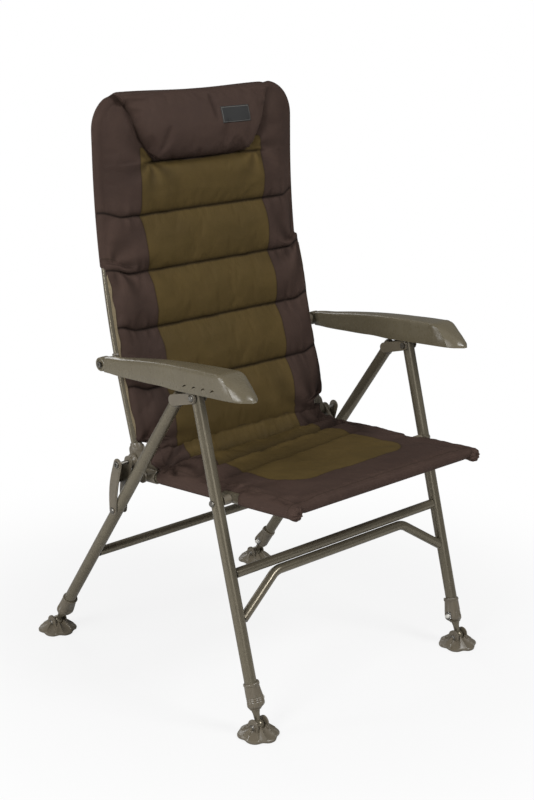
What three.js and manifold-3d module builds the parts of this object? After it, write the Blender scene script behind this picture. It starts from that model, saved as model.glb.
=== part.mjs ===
// Carp fishing armchair: a folding, reclining high back chair on four telescopic legs with swivelling
// mud feet. Millimetres, +Z up, X is across the chair, and the sitter faces -Y.
// The side geometry is laid out from the top pivot of the legs, whose place is Y = 0 there. At the end
// the whole chair is shifted so that its origin is on the floor, under the centre of its outline.

import * as THREE from 'three';
import { mergeVertices } from 'three/addons/utils/BufferGeometryUtils.js';
import Module from 'manifold-3d';

const wasm = await Module();
wasm.setup();

// Driving dimensions of the frame
const SEAT_TUBE_SPACING = 528;
const LEG_OUTSIDE_SEAT_TUBE = 43;
const TOP_PIVOT_HEIGHT = 656;
const SEAT_PIVOT_DROP = 201;
const SEAT_PIVOT_FORWARD = 58;
const HINGE_BEHIND_SEAT_PIVOT = 289;
const HINGE_ABOVE_SEAT_PIVOT = 5.5;
const FRONT_LEG_LEAN = 16.3;
const REAR_LEG_LEAN = 33.9;
const REAR_LEG_SETBACK = 46;
const FOOT_PIVOT_HEIGHT = 21;

// Tubes
const LEG_DIAMETER = 25;
const LEG_WALL = 1.5;
const INNER_LEG_DIAMETER = 20;
const SEAT_TUBE_DIAMETER = 22;
const SEAT_TUBE_WALL = 1.5;
const BACK_TUBE_DIAMETER = 20;
const CROSS_TUBE_DIAMETER = 20;

// Clearances, and one overrun for all cuts
const TOUCH_GAP = 0.3;
const CUT_OVERRUN = 40;
const BOLT_DIAMETER = 8;
const BOLT_HEAD_DIAMETER = 13;
const BOLT_HEAD_HEIGHT = 4;

// Distances down the front leg from the top pivot
const FRONT_CROSS_DISTANCE = 355;
const BRACE_GAP = 1.5;
const BRACE_DROP = 70.5;
const BRACE_BEND_HALF_SPAN = 190;
const BRACE_BEND_RADIUS = 45;

// Distances down the rear leg from the height of the top pivot
const REAR_TUBE_TOP = 14;
const REAR_CROSS_DISTANCE = 515;
const LINK_PIN_DISTANCE = 363;
const LEG_TUBE_ABOVE_PIVOT = 8;

// From a collar's lower end to the foot's pivot, with the inner leg as far in as in the photograph
const INNER_LEG_SHOWN = 34;
const COLLAR_LENGTH = 54;

// Seat
const SEAT_FRONT = -236;
const SEAT_TUBE_END = 214;
const SEAT_TUBE_PITCH = 4.85;
const SEAT_HEM_FORWARD = 2;

// Back frame, up from the hinge
const BACK_LEAN = 17.3;
const BACK_STRAIGHT = 150;
const BACK_ARC_RADIUS = 1750;
const BACK_ARC_ANGLE = 15.3;
const BACK_LENGTH = 738.4;
const BACK_CORNER_RADIUS = 62;
const BACK_TUBE_START = 7;
const BACK_SLEEVE_FROM = 397;

// Bracket ears and link plates, which straddle a leg
const PLATE = 2.5;
const EAR_RADIUS = 12;

const RAD = THREE.MathUtils.degToRad;
const SEAT_X = SEAT_TUBE_SPACING / 2;
const LEG_X = SEAT_X + LEG_OUTSIDE_SEAT_TUBE;
const SIDES = { left: -1, right: 1 };

// Colours
const paint = new THREE.Color(0x74716a);
const mouldingColour = new THREE.Color(0x67634f);
const coat = (name, colour, roughness, metalness) =>
  new THREE.MeshStandardMaterial({ name, color: colour, roughness, metalness });
const frameMetal = coat('frame_metal', paint, 0.45, 0.6);
const moulding = coat('moulding', mouldingColour, 0.55, 0);
const steel = coat('steel', new THREE.Color(0x8d8b86), 0.3, 0.9);
const buttonGrey = coat('button_plastic', new THREE.Color(0xc9c9c4), 0.5, 0);
const brownFabric = coat('brown_fabric', new THREE.Color(0x463a34), 0.9, 0);
const oliveFabric = coat('olive_fabric', new THREE.Color(0x50422b), 0.95, 0);

const chair = new THREE.Group();

function add(name, solid, material) {
  const mesh = new THREE.Mesh(solid, material);
  mesh.name = name;
  chair.add(mesh);
}

// Places on the side plane, as (Y, Z)
const side = (y, z) => new THREE.Vector2(y, z);
const along = (origin, degrees, distance) =>
  side(origin.x + distance * Math.cos(RAD(degrees)), origin.y + distance * Math.sin(RAD(degrees)));
const at = (x, point) => new THREE.Vector3(x, point.x, point.y);

const topPivot = side(0, TOP_PIVOT_HEIGHT);
const seatPivot = side(-SEAT_PIVOT_FORWARD, TOP_PIVOT_HEIGHT - SEAT_PIVOT_DROP);
const hinge = side(seatPivot.x + HINGE_BEHIND_SEAT_PIVOT, seatPivot.y + HINGE_ABOVE_SEAT_PIVOT);
// The armrest, the seat, the back and the front leg make a parallelogram, so that the chair folds flat
const armPivot = side(hinge.x + topPivot.x - seatPivot.x, hinge.y + topPivot.y - seatPivot.y);

const FRONT_LEG_ANGLE = -90 - FRONT_LEG_LEAN;
const REAR_LEG_ANGLE = -90 + REAR_LEG_LEAN;
const rearLegStart = side(REAR_LEG_SETBACK, TOP_PIVOT_HEIGHT);
const onFrontLeg = distance => along(topPivot, FRONT_LEG_ANGLE, distance);
const onRearLeg = distance => along(rearLegStart, REAR_LEG_ANGLE, distance);
const frontFootDistance = (TOP_PIVOT_HEIGHT - FOOT_PIVOT_HEIGHT) / Math.cos(RAD(FRONT_LEG_LEAN));
const rearFootDistance = (TOP_PIVOT_HEIGHT - FOOT_PIVOT_HEIGHT) / Math.cos(RAD(REAR_LEG_LEAN));
const linkPin = onRearLeg(LINK_PIN_DISTANCE);
const frontCollarTop = frontFootDistance - INNER_LEG_SHOWN - COLLAR_LENGTH;
const rearCollarTop = rearFootDistance - INNER_LEG_SHOWN - COLLAR_LENGTH;

// The seat tubes run through the seat pivot and fall towards the hinge
const seatLine = y => side(y, seatPivot.y - (y - seatPivot.x) * Math.tan(RAD(SEAT_TUBE_PITCH)));

// Solids
function solidOf(geometry) {
  const bare = geometry.clone();
  bare.deleteAttribute('normal');
  bare.deleteAttribute('uv');
  const merged = mergeVertices(bare, 1e-5);
  const mesh = new wasm.Mesh({
    numProp: 3,
    vertProperties: new Float32Array(merged.attributes.position.array),
    triVerts: new Uint32Array(merged.index.array),
  });
  mesh.merge();
  return new wasm.Manifold(mesh);
}

function geometryOf(solid) {
  const mesh = solid.getMesh();
  const geometry = new THREE.BufferGeometry();
  geometry.setAttribute('position', new THREE.BufferAttribute(mesh.vertProperties, 3));
  geometry.setIndex(new THREE.BufferAttribute(mesh.triVerts, 1));
  return geometry;
}

function cut(body, ...tools) {
  return geometryOf(tools.reduce((left, tool) => left.subtract(solidOf(tool)), solidOf(body)));
}

function join(...bodies) {
  return geometryOf(bodies.map(solidOf).reduce((left, right) => left.add(right)));
}

const pointed = new THREE.Vector3(0, 1, 0);

// A round bar between two points
function rod(from, to, radius, sides = 16, endRadius = radius) {
  const run = to.clone().sub(from);
  const bar = new THREE.CylinderGeometry(endRadius, radius, run.length(), sides);
  bar.applyQuaternion(new THREE.Quaternion().setFromUnitVectors(pointed, run.clone().normalize()));
  const middle = from.clone().add(to).multiplyScalar(0.5);
  return bar.translate(middle.x, middle.y, middle.z);
}

// A turned piece: the profile is (radius, distance) along the line from one point towards another
function turned(from, to, profile, sides = 14) {
  const points = profile.map(([radius, distance]) => new THREE.Vector2(radius, distance));
  const body = new THREE.LatheGeometry(points, sides);
  const run = to.clone().sub(from).normalize();
  body.applyQuaternion(new THREE.Quaternion().setFromUnitVectors(pointed, run));
  return body.translate(from.x, from.y, from.z);
}

function pipe(from, to, outer, inner, sides = 14) {
  const length = from.distanceTo(to);
  return turned(from, to, [[inner, 0], [outer, 0], [outer, length], [inner, length], [inner, 0]], sides);
}

// A rod across the chair, through a side plane point
const crossRod = (point, x0, x1, radius, sides) => rod(at(Math.min(x0, x1), point),
  at(Math.max(x0, x1), point), radius, sides);

// A flat shape drawn on the side plane, as thick as the span across the chair
function plate(shape, x0, x1, curveSegments = 3) {
  const low = Math.min(x0, x1);
  const body = new THREE.ExtrudeGeometry(shape,
    { depth: Math.abs(x1 - x0), bevelEnabled: false, curveSegments });
  const turn = new THREE.Matrix4().makeBasis(
    new THREE.Vector3(0, 1, 0), new THREE.Vector3(0, 0, 1), new THREE.Vector3(1, 0, 0));
  return body.applyMatrix4(turn).translate(low, 0, 0);
}

// The outline round circles of given centres and radii, taken anticlockwise
function belt(circles) {
  const shape = new THREE.Shape();
  circles.forEach(([centre, radius], index) => {
    const before = circles[(index + circles.length - 1) % circles.length];
    const after = circles[(index + 1) % circles.length];
    const entry = tangentAngle(before[0], before[1], centre, radius);
    const exit = tangentAngle(centre, radius, after[0], after[1]);
    shape.absarc(centre.x, centre.y, radius, entry, exit, false);
  });
  shape.closePath();
  return shape;
}

function tangentAngle(from, fromRadius, to, toRadius) {
  const run = to.clone().sub(from);
  return run.angle() - Math.PI / 2 + Math.asin((toRadius - fromRadius) / run.length()) * -1;
}

function polygon(points) {
  return new THREE.Shape(points);
}

function box(low, high) {
  const size = high.clone().sub(low);
  const middle = high.clone().add(low).multiplyScalar(0.5);
  return new THREE.BoxGeometry(size.x, size.y, size.z).translate(middle.x, middle.y, middle.z);
}

// A closed solid through rings of equally many points
function loft(rings) {
  const count = rings[0].length;
  const vertices = [];
  const faces = [];
  rings.forEach(ring => ring.forEach(point => vertices.push(point.x, point.y, point.z)));
  for (let row = 0; row + 1 < rings.length; row += 1) {
    for (let column = 0; column < count; column += 1) {
      const next = (column + 1) % count;
      const a = row * count + column;
      const b = row * count + next;
      faces.push(a, b, b + count, a, b + count, a + count);
    }
  }
  [[0, 1], [rings.length - 1, -1]].forEach(([row, way]) => {
    const middle = new THREE.Vector3();
    rings[row].forEach(point => middle.addScaledVector(point, 1 / count));
    const centre = vertices.length / 3;
    vertices.push(middle.x, middle.y, middle.z);
    for (let column = 0; column < count; column += 1) {
      const a = row * count + column;
      const b = row * count + (column + 1) % count;
      if (way > 0) faces.push(centre, b, a);
      else faces.push(centre, a, b);
    }
  });
  const geometry = new THREE.BufferGeometry();
  geometry.setAttribute('position', new THREE.Float32BufferAttribute(vertices, 3));
  geometry.setIndex(faces);
  return outward(geometry);
}

// Turns the faces round if they point inwards
function outward(geometry) {
  const { array } = geometry.attributes.position;
  const index = geometry.index.array;
  const corner = number => new THREE.Vector3().fromArray(array, index[number] * 3);
  let volume = 0;
  for (let start = 0; start < index.length; start += 3) {
    volume += corner(start).dot(corner(start + 1).cross(corner(start + 2)));
  }
  if (volume < 0) {
    for (let start = 0; start < index.length; start += 3) {
      const kept = index[start];
      index[start] = index[start + 1];
      index[start + 1] = kept;
    }
  }
  return geometry;
}

// A path with its own stations, so that bends get short steps and straights one long step
class StationPath extends THREE.Curve {
  constructor(stations) {
    super();
    this.stations = stations;
  }

  getPoint(share) {
    const place = Math.min(Math.max(share, 0), 1) * (this.stations.length - 1);
    const low = Math.min(Math.floor(place), this.stations.length - 2);
    return this.stations[low].clone().lerp(this.stations[low + 1], place - low);
  }

  getPointAt(share) {
    return this.getPoint(share);
  }

  getTangentAt(share) {
    return this.getTangent(share);
  }
}

function tubeAlong(stations, outer, inner, sides = 5) {
  const section = new THREE.Shape().absarc(0, 0, outer, 0, Math.PI * 2);
  if (inner > 0) section.holes.push(new THREE.Path().absarc(0, 0, inner, 0, Math.PI * 2, true));
  return new THREE.ExtrudeGeometry(section, {
    steps: stations.length - 1,
    curveSegments: sides,
    bevelEnabled: false,
    extrudePath: new StationPath(stations),
  });
}

// Straight runs between corners, with a round bend of one radius at each corner between
function bent(corners, radius, bendSteps) {
  const stations = [corners[0]];
  for (let index = 1; index + 1 < corners.length; index += 1) {
    const before = corners[index - 1].clone().sub(corners[index]).normalize();
    const after = corners[index + 1].clone().sub(corners[index]).normalize();
    const half = before.angleTo(after) / 2;
    const setback = radius / Math.tan(half);
    const centre = corners[index].clone()
      .addScaledVector(before.clone().add(after).normalize(), radius / Math.sin(half));
    const start = corners[index].clone().addScaledVector(before, setback).sub(centre);
    const end = corners[index].clone().addScaledVector(after, setback).sub(centre);
    const axis = start.clone().cross(end).normalize();
    const sweep = start.angleTo(end);
    for (let step = 0; step <= bendSteps; step += 1) {
      stations.push(start.clone().applyAxisAngle(axis, sweep * step / bendSteps).add(centre));
    }
  }
  stations.push(corners[corners.length - 1]);
  return stations;
}

// Seat side tubes, their front plugs and the rear hinge knuckles
const SEAT_TUBE_RADIUS = SEAT_TUBE_DIAMETER / 2;
const PLUG_FLANGE_RADIUS = 12.5;
const PLUG_FLANGE = 4;
const PLUG_DEPTH = 22;
const PLUG_NOSE = 0.75;
const KNUCKLE_HALF_WIDTH = 20;
const KNUCKLE_EAR = 5;
const KNUCKLE_HINGE_RADIUS = 17;
const KNUCKLE_SOCKET_RADIUS = 14.5;
const KNUCKLE_SOCKET_LENGTH = 42;
const KNUCKLE_BOSS_RADIUS = 11;
const boltHole = BOLT_DIAMETER / 2 + TOUCH_GAP;
const earInner = LEG_DIAMETER / 2 + TOUCH_GAP;
const earOuter = earInner + PLATE;
const seatStart = seatLine(SEAT_FRONT);
const seatEnd = seatLine(SEAT_TUBE_END);
const seatDirection = seatEnd.clone().sub(seatStart).normalize();
const spacerStart = SEAT_X + SEAT_TUBE_RADIUS + TOUCH_GAP;
const spacerEnd = LEG_X - LEG_DIAMETER / 2 - TOUCH_GAP;
const SPACER_RADIUS = 10;
const SEAT_NUT_RADIUS = 7;
const SEAT_NUT = 1.4;

function seatTube(way) {
  const x = way * SEAT_X;
  return cut(
    pipe(at(x, seatStart), at(x, seatEnd), SEAT_TUBE_RADIUS, SEAT_TUBE_RADIUS - SEAT_TUBE_WALL),
    crossRod(seatPivot, x - CUT_OVERRUN, x + CUT_OVERRUN, boltHole, 12),
  );
}

function seatPlug(way) {
  const x = way * SEAT_X;
  const stub = SEAT_TUBE_RADIUS - SEAT_TUBE_WALL - TOUCH_GAP;
  const rim = PLUG_FLANGE_RADIUS;
  return turned(at(x, seatStart), at(x, seatStart.clone().sub(seatDirection)), [
    [0, -PLUG_DEPTH], [stub, -PLUG_DEPTH], [stub, TOUCH_GAP], [rim, TOUCH_GAP],
    [rim, PLUG_FLANGE * 0.5], [rim * PLUG_NOSE, PLUG_FLANGE], [0, PLUG_FLANGE],
  ]);
}

const slotHalfWidth = KNUCKLE_HALF_WIDTH - KNUCKLE_EAR;

function seatKnuckle(way) {
  const x = way * SEAT_X;
  const tail = hinge.x + KNUCKLE_HINGE_RADIUS * 0.35;
  const low = seatLine(tail);
  const nose = seatLine(SEAT_TUBE_END - KNUCKLE_SOCKET_LENGTH);
  const outline = belt([
    [low, KNUCKLE_SOCKET_RADIUS], [hinge, KNUCKLE_HINGE_RADIUS], [nose, KNUCKLE_SOCKET_RADIUS],
  ]);
  const outerFace = x + way * KNUCKLE_HALF_WIDTH;
  const bossEnd = way * (LEG_X - earOuter - TOUCH_GAP);
  const slotFloor = KNUCKLE_SOCKET_RADIUS - 1.5;
  const slotLow = seatLine(nose.x - CUT_OVERRUN);
  const slotHigh = seatLine(tail + CUT_OVERRUN);
  const slot = polygon([
    side(slotLow.x, slotLow.y + slotFloor), side(slotHigh.x, slotHigh.y + slotFloor),
    side(slotHigh.x, hinge.y + CUT_OVERRUN), side(slotLow.x, hinge.y + CUT_OVERRUN),
  ]);
  return cut(
    join(
      plate(outline, x - KNUCKLE_HALF_WIDTH, x + KNUCKLE_HALF_WIDTH),
      crossRod(hinge, outerFace - way * KNUCKLE_EAR / 2, bossEnd, KNUCKLE_BOSS_RADIUS, 14),
    ),
    plate(slot, x - slotHalfWidth, x + slotHalfWidth),
    rod(at(x, along(nose, 180 - SEAT_TUBE_PITCH, CUT_OVERRUN)), at(x, seatEnd.clone()
      .addScaledVector(seatDirection, TOUCH_GAP)), SEAT_TUBE_RADIUS + TOUCH_GAP, 14),
    crossRod(hinge, x - CUT_OVERRUN, x + CUT_OVERRUN, boltHole, 12),
  );
}

const SLEEVE_CLOTH = 1.6;
const seatSleeveRadius = SEAT_TUBE_RADIUS + TOUCH_GAP + SLEEVE_CLOTH;
const SLEEVE_CUTOUT = 21;
const sleeveStart = seatLine(SEAT_FRONT + SEAT_HEM_FORWARD);
const sleeveEnd = seatLine(SEAT_TUBE_END - KNUCKLE_SOCKET_LENGTH - KNUCKLE_SOCKET_RADIUS - 4);

// The fabric tunnel round a seat tube, open at the outer side where the seat pivots on the leg
function seatSleeve(way) {
  const x = way * SEAT_X;
  const opening = SEAT_TUBE_RADIUS * 0.4;
  return cut(
    pipe(at(x, sleeveStart), at(x, sleeveEnd), seatSleeveRadius, SEAT_TUBE_RADIUS + TOUCH_GAP),
    box(new THREE.Vector3(Math.min(x + way * opening, x + way * CUT_OVERRUN),
      seatPivot.x - SLEEVE_CUTOUT, seatPivot.y - CUT_OVERRUN),
    new THREE.Vector3(Math.max(x + way * opening, x + way * CUT_OVERRUN),
      seatPivot.x + SLEEVE_CUTOUT, seatPivot.y + CUT_OVERRUN)),
    crossRod(seatPivot, x, x - way * CUT_OVERRUN, SEAT_NUT_RADIUS + 1, 12),
  );
}

function seatSpacer(way) {
  return pipe(at(way * spacerStart, seatPivot), at(way * spacerEnd, seatPivot), SPACER_RADIUS, boltHole);
}

// A bolt across the chair from an outer head to an inner nut
function bolt(point, way, headX, nutX, nutRadius, nutHeight) {
  const headRadius = BOLT_HEAD_DIAMETER / 2;
  const shank = BOLT_DIAMETER / 2;
  const length = Math.abs(headX - nutX);
  return turned(at(way * headX, point), at(way * nutX, point), [
    [0, -BOLT_HEAD_HEIGHT], [headRadius * 0.7, -BOLT_HEAD_HEIGHT], [headRadius, -BOLT_HEAD_HEIGHT / 2],
    [headRadius, 0], [shank, 0], [shank, length], [nutRadius, length],
    [nutRadius, length + nutHeight], [0, length + nutHeight],
  ], 10);
}

for (const [name, way] of Object.entries(SIDES)) {
  add(`seat_tube_${name}`, seatTube(way), frameMetal);
  add(`seat_tube_plug_${name}`, seatPlug(way), moulding);
  add(`seat_knuckle_${name}`, seatKnuckle(way), moulding);
  add(`seat_sleeve_${name}`, seatSleeve(way), brownFabric);
  add(`seat_spacer_${name}`, seatSpacer(way), moulding);
  add(`seat_pivot_bolt_${name}`, bolt(seatPivot, way, LEG_X + LEG_DIAMETER / 2 + TOUCH_GAP,
    SEAT_X - SEAT_TUBE_RADIUS - TOUCH_GAP, SEAT_NUT_RADIUS, SEAT_NUT), steel);
}

// Front legs
const FRONT_CUT_LENGTH = 0.5;
const LEG_RADIUS = LEG_DIAMETER / 2;
const LEG_BORE = LEG_RADIUS - LEG_WALL;
const COLLAR_RADIUS = 16;
const COLLAR_SEAT = 36;
const COLLAR_LIP = 6;
const COLLAR_RIB = 1;
const BUTTON_RADIUS = 4.5;
const BUTTON_DROP = 34;
const BUTTON_PROUD = 3.5;
const BUTTON_TRAVEL = 3;
const WINDOW_HALF_WIDTH = 7.5;
const WINDOW_DEPTH = 2.5;
const WINDOW_HEIGHT = 22;

// Clears the round side of a tube for the end of another that is welded to it
const notch = (from, to) => rod(from, to, LEG_RADIUS + TOUCH_GAP, 14);

function legTube(way, from, to, holes) {
  const x = way * LEG_X;
  const tube = pipe(at(x, from), at(x, to), LEG_RADIUS, LEG_BORE);
  return holes.length === 0 ? tube : cut(tube,
    ...holes.map(point => crossRod(point, x - CUT_OVERRUN, x + CUT_OVERRUN, boltHole, 12)));
}

const legPair = line => [-1, 1].map(way => notch(
  at(way * LEG_X, line(-CUT_OVERRUN)), at(way * LEG_X, line(rearFootDistance + CUT_OVERRUN))));

function straightCross(line, distance) {
  const point = line(distance);
  return cut(crossRod(point, -LEG_X, LEG_X, CROSS_TUBE_DIAMETER / 2, 16), ...legPair(line));
}

function braceTube() {
  const runDistance = FRONT_CROSS_DISTANCE + CROSS_TUBE_DIAMETER + BRACE_GAP;
  const run = onFrontLeg(runDistance);
  const end = onFrontLeg(runDistance + BRACE_DROP);
  const corners = [
    at(-LEG_X, end), at(-BRACE_BEND_HALF_SPAN, run), at(BRACE_BEND_HALF_SPAN, run), at(LEG_X, end),
  ];
  return cut(tubeAlong(bent(corners, BRACE_BEND_RADIUS, 5), CROSS_TUBE_DIAMETER / 2, 0),
    ...legPair(onFrontLeg));
}

// A leg's locking collar: a moulded sleeve with a lip, grip ribs and a pocket for the button
function collar(way, line, top) {
  const x = way * LEG_X;
  const bore = LEG_RADIUS + TOUCH_GAP;
  const neck = INNER_LEG_DIAMETER / 2 + TOUCH_GAP * 2;
  const ribStart = COLLAR_LENGTH * 0.62;
  const ribPitch = 4;
  const profile = [[bore, 0], [COLLAR_RADIUS, 0], [COLLAR_RADIUS, COLLAR_LIP],
    [COLLAR_RADIUS - COLLAR_RIB, COLLAR_LIP + COLLAR_RIB]];
  for (let rib = 0; rib < 2; rib += 1) {
    const start = ribStart + rib * ribPitch;
    profile.push([COLLAR_RADIUS - COLLAR_RIB, start], [COLLAR_RADIUS, start + ribPitch * 0.25],
      [COLLAR_RADIUS, start + ribPitch * 0.5], [COLLAR_RADIUS - COLLAR_RIB, start + ribPitch * 0.75]);
  }
  profile.push([COLLAR_RADIUS - COLLAR_RIB, COLLAR_LENGTH - COLLAR_LIP],
    [neck + COLLAR_RIB * 1.5, COLLAR_LENGTH], [neck, COLLAR_LENGTH], [neck, COLLAR_SEAT],
    [bore, COLLAR_SEAT], [bore, 0]);
  const button = line(top + BUTTON_DROP + 6);
  const down = line(1).sub(line(0));
  const low = line(top + BUTTON_DROP + 6 + WINDOW_HEIGHT / 2);
  const across = side(-down.y, down.x);
  const corner = (share, width) => low.clone().addScaledVector(down, -share)
    .addScaledVector(across, width);
  const pocket = plate(polygon([
    corner(0, -WINDOW_HALF_WIDTH), corner(0, WINDOW_HALF_WIDTH),
    corner(WINDOW_HEIGHT, WINDOW_HALF_WIDTH), corner(WINDOW_HEIGHT, -WINDOW_HALF_WIDTH),
  ]), x - way * (COLLAR_RADIUS - WINDOW_DEPTH), x - way * (COLLAR_RADIUS + CUT_OVERRUN));
  return cut(turned(at(x, line(top)), at(x, line(top + COLLAR_LENGTH)), profile),
    pocket, crossRod(button, x, x - way * CUT_OVERRUN, BUTTON_RADIUS + TOUCH_GAP, 10));
}

// The sprung button that holds the inner leg, on the side that faces the middle of the chair
function lockButton(way, line, top) {
  const point = line(top + BUTTON_DROP + 6);
  const from = way * (LEG_X - INNER_LEG_DIAMETER / 2 - TOUCH_GAP);
  const to = way * (LEG_X - COLLAR_RADIUS - BUTTON_PROUD);
  const length = Math.abs(to - from);
  return turned(at(from, point), at(to, point), [
    [0, 0], [BUTTON_RADIUS, 0], [BUTTON_RADIUS, length * 0.85], [BUTTON_RADIUS * 0.75, length],
    [0, length],
  ], 12);
}

const LEG_TUBE_IN_COLLAR = COLLAR_SEAT - FRONT_CUT_LENGTH;
const frontTubeEnd = frontCollarTop + LEG_TUBE_IN_COLLAR;
const rearTubeEnd = rearCollarTop + LEG_TUBE_IN_COLLAR;

// Inner leg: a bar with a groove for the button, a neck and the ball that the foot swivels on
const INNER_LEG_LENGTH = 170;
const NECK_RADIUS = 6.5;
const BALL_RADIUS = 9.5;
const BALL_STEPS = 4;
const GROOVE_DEPTH = 4;

function innerLeg(way, line, top, footDistance) {
  const x = way * LEG_X;
  const start = top + COLLAR_LENGTH - INNER_LEG_LENGTH;
  const shoulder = INNER_LEG_LENGTH - 1;
  const full = INNER_LEG_DIAMETER / 2;
  const ball = footDistance - start;
  const reach = Math.sqrt(BALL_RADIUS ** 2 - NECK_RADIUS ** 2);
  const profile = [[0, 0], [full, 0], [full, shoulder - 2], [NECK_RADIUS, shoulder]];
  for (let step = 0; step <= BALL_STEPS; step += 1) {
    const share = step / BALL_STEPS;
    const place = -reach + (BALL_RADIUS + reach) * share;
    profile.push([Math.sqrt(Math.max(BALL_RADIUS ** 2 - place ** 2, 0)), ball + place]);
  }
  const down = line(1).sub(line(0));
  const across = side(-down.y, down.x).multiplyScalar(BUTTON_RADIUS + TOUCH_GAP * 2);
  const high = line(start - 1);
  const low = line(top + COLLAR_LENGTH - 4);
  const groove = plate(polygon([
    high.clone().sub(across), high.clone().add(across), low.clone().add(across), low.clone().sub(across),
  ]), x - way * (full - GROOVE_DEPTH), x - way * (full + CUT_OVERRUN));
  return cut(turned(at(x, line(start)), at(x, line(footDistance)), profile, 12), groove,
    crossRod(line(footDistance), x - CUT_OVERRUN, x + CUT_OVERRUN, FOOT_PIN_RADIUS + TOUCH_GAP, 12));
}

// Mud foot: a scalloped cone with two ears and the pin that the leg's ball turns on
const FOOT_RADIUS = 42;
const FOOT_SCALLOP = 3;
const FOOT_LOBES = 6;
const FOOT_RIM = 7;
const FOOT_TOP = 18;
const FOOT_CROWN_RADIUS = 15;
const FOOT_EAR_RADIUS = 15;
const FOOT_EAR_ROOT = 16;
const FOOT_EAR_RISE = 6;
const FOOT_EAR = 4;
const FOOT_PIN_RADIUS = 3;
const FOOT_PIN_HEAD = 5;
const FOOT_HOLLOW_GAP = 0.8;
const FOOT_SOLE_EDGE = 2.5;
const FOOT_SHOULDER = 6;
const FOOT_SHOULDER_SHARE = 0.66;
const FOOT_EAR_GAP = 0.5;

function foot(way, line, footDistance) {
  const pivot = line(footDistance);
  const x = way * LEG_X;
  const points = FOOT_LOBES * 3;
  const ring = (radius, scallop, height, dip) => Array.from({ length: points }, (_, index) => {
    const turn = index / points * Math.PI * 2;
    const wave = Math.cos(turn * FOOT_LOBES);
    const reach = radius + scallop * wave;
    return new THREE.Vector3(x + reach * Math.cos(turn), pivot.x + reach * Math.sin(turn),
      height + dip * wave);
  });
  const cone = loft([
    ring(FOOT_RADIUS - FOOT_SCALLOP - FOOT_SOLE_EDGE, FOOT_SCALLOP, 0, 0),
    ring(FOOT_RADIUS - FOOT_SCALLOP, FOOT_SCALLOP, FOOT_SOLE_EDGE, 0),
    ring(FOOT_RADIUS - FOOT_SCALLOP, FOOT_SCALLOP, FOOT_RIM, 0.8),
    ring(FOOT_RADIUS * FOOT_SHOULDER_SHARE, FOOT_SCALLOP * 0.9, FOOT_RIM + FOOT_SHOULDER, 0.9),
    ring(FOOT_CROWN_RADIUS, FOOT_SCALLOP * 0.4, FOOT_TOP, 0.3),
  ]);
  const earInside = BALL_RADIUS + FOOT_EAR_GAP;
  const root = side(pivot.x, FOOT_EAR_ROOT);
  const tip = side(pivot.x, pivot.y + FOOT_EAR_RISE);
  const ears = [-1, 1].map(hand => plate(belt([[root, FOOT_EAR_RADIUS], [tip, FOOT_EAR_RADIUS - 1]]),
    x + hand * earInside, x + hand * (earInside + FOOT_EAR), 3));
  const hollow = new THREE.SphereGeometry(BALL_RADIUS + FOOT_HOLLOW_GAP, 10, 6)
    .translate(x, pivot.x, pivot.y);
  const pin = crossRod(pivot, x - earInside - FOOT_EAR - 2, x + earInside + FOOT_EAR + 2,
    FOOT_PIN_RADIUS, 12);
  const head = crossRod(pivot, x + way * (earInside + FOOT_EAR - 1),
    x + way * (earInside + FOOT_EAR + 2), FOOT_PIN_HEAD, 12);
  return join(cut(join(cone, ...ears), hollow), pin, head);
}

for (const [name, way] of Object.entries(SIDES)) {
  const frontTop = onFrontLeg(-LEG_TUBE_ABOVE_PIVOT);
  add(`front_leg_tube_${name}`, legTube(way, frontTop, onFrontLeg(frontTubeEnd),
    [topPivot, seatPivot]), frameMetal);
  add(`front_collar_${name}`, collar(way, onFrontLeg, frontCollarTop), moulding);
  add(`front_lock_button_${name}`, lockButton(way, onFrontLeg, frontCollarTop), buttonGrey);
  add(`front_inner_leg_${name}`,
    innerLeg(way, onFrontLeg, frontCollarTop, frontFootDistance), frameMetal);
  add(`front_foot_${name}`, foot(way, onFrontLeg, frontFootDistance), moulding);
  add(`top_pivot_bolt_${name}`, bolt(topPivot, way, LEG_X + earOuter + TOUCH_GAP,
    LEG_X - earOuter - TOUCH_GAP, BOLT_HEAD_DIAMETER / 2, BOLT_HEAD_HEIGHT), steel);
}
add('front_cross_tube', straightCross(onFrontLeg, FRONT_CROSS_DISTANCE), frameMetal);
add('front_brace_tube', braceTube(), frameMetal);

// Rear legs, with the bracket that holds the front leg's top between its ears
const BRACKET_REACH = 34;
const BRACKET_EAR_DROP = 5;
const BRACKET_WEB = 4;
const BRACKET_WEB_REACH = 21;

function rearBracket(way) {
  const x = way * LEG_X;
  const upper = onRearLeg(REAR_TUBE_TOP + BRACKET_EAR_DROP);
  const lower = onRearLeg(REAR_TUBE_TOP + BRACKET_REACH);
  const outline = belt([
    [topPivot, EAR_RADIUS], [lower, EAR_RADIUS * 0.85], [upper, EAR_RADIUS * 1.2],
  ]);
  const inner = plate(outline, x - earInner, x + earInner);
  const shell = plate(outline, x - earOuter, x + earOuter);
  // The web is a cap over the rear leg's end, and stops short of the front leg
  const webPoint = (distance, width) =>
    along(onRearLeg(distance), REAR_LEG_ANGLE - 90, width);
  const webLow = REAR_TUBE_TOP - TOUCH_GAP;
  const web = plate(polygon([
    webPoint(webLow - BRACKET_WEB, BRACKET_WEB_REACH), webPoint(webLow, BRACKET_WEB_REACH),
    webPoint(webLow, -CUT_OVERRUN), webPoint(webLow - BRACKET_WEB, -CUT_OVERRUN),
  ]), x - earInner - 1, x + earInner + 1);
  const slot = cut(inner, web);
  return cut(shell, slot, crossRod(topPivot, x - CUT_OVERRUN, x + CUT_OVERRUN, boltHole, 12));
}

// The link that carries the hinge on the rear leg: two plates joined by a boss and a web at the top
const LINK_TOP_RADIUS = 14;
const LINK_FOOT_RADIUS = 11;
const LINK_WEB_FROM = 62;
const LINK_WEB = 3;

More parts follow.
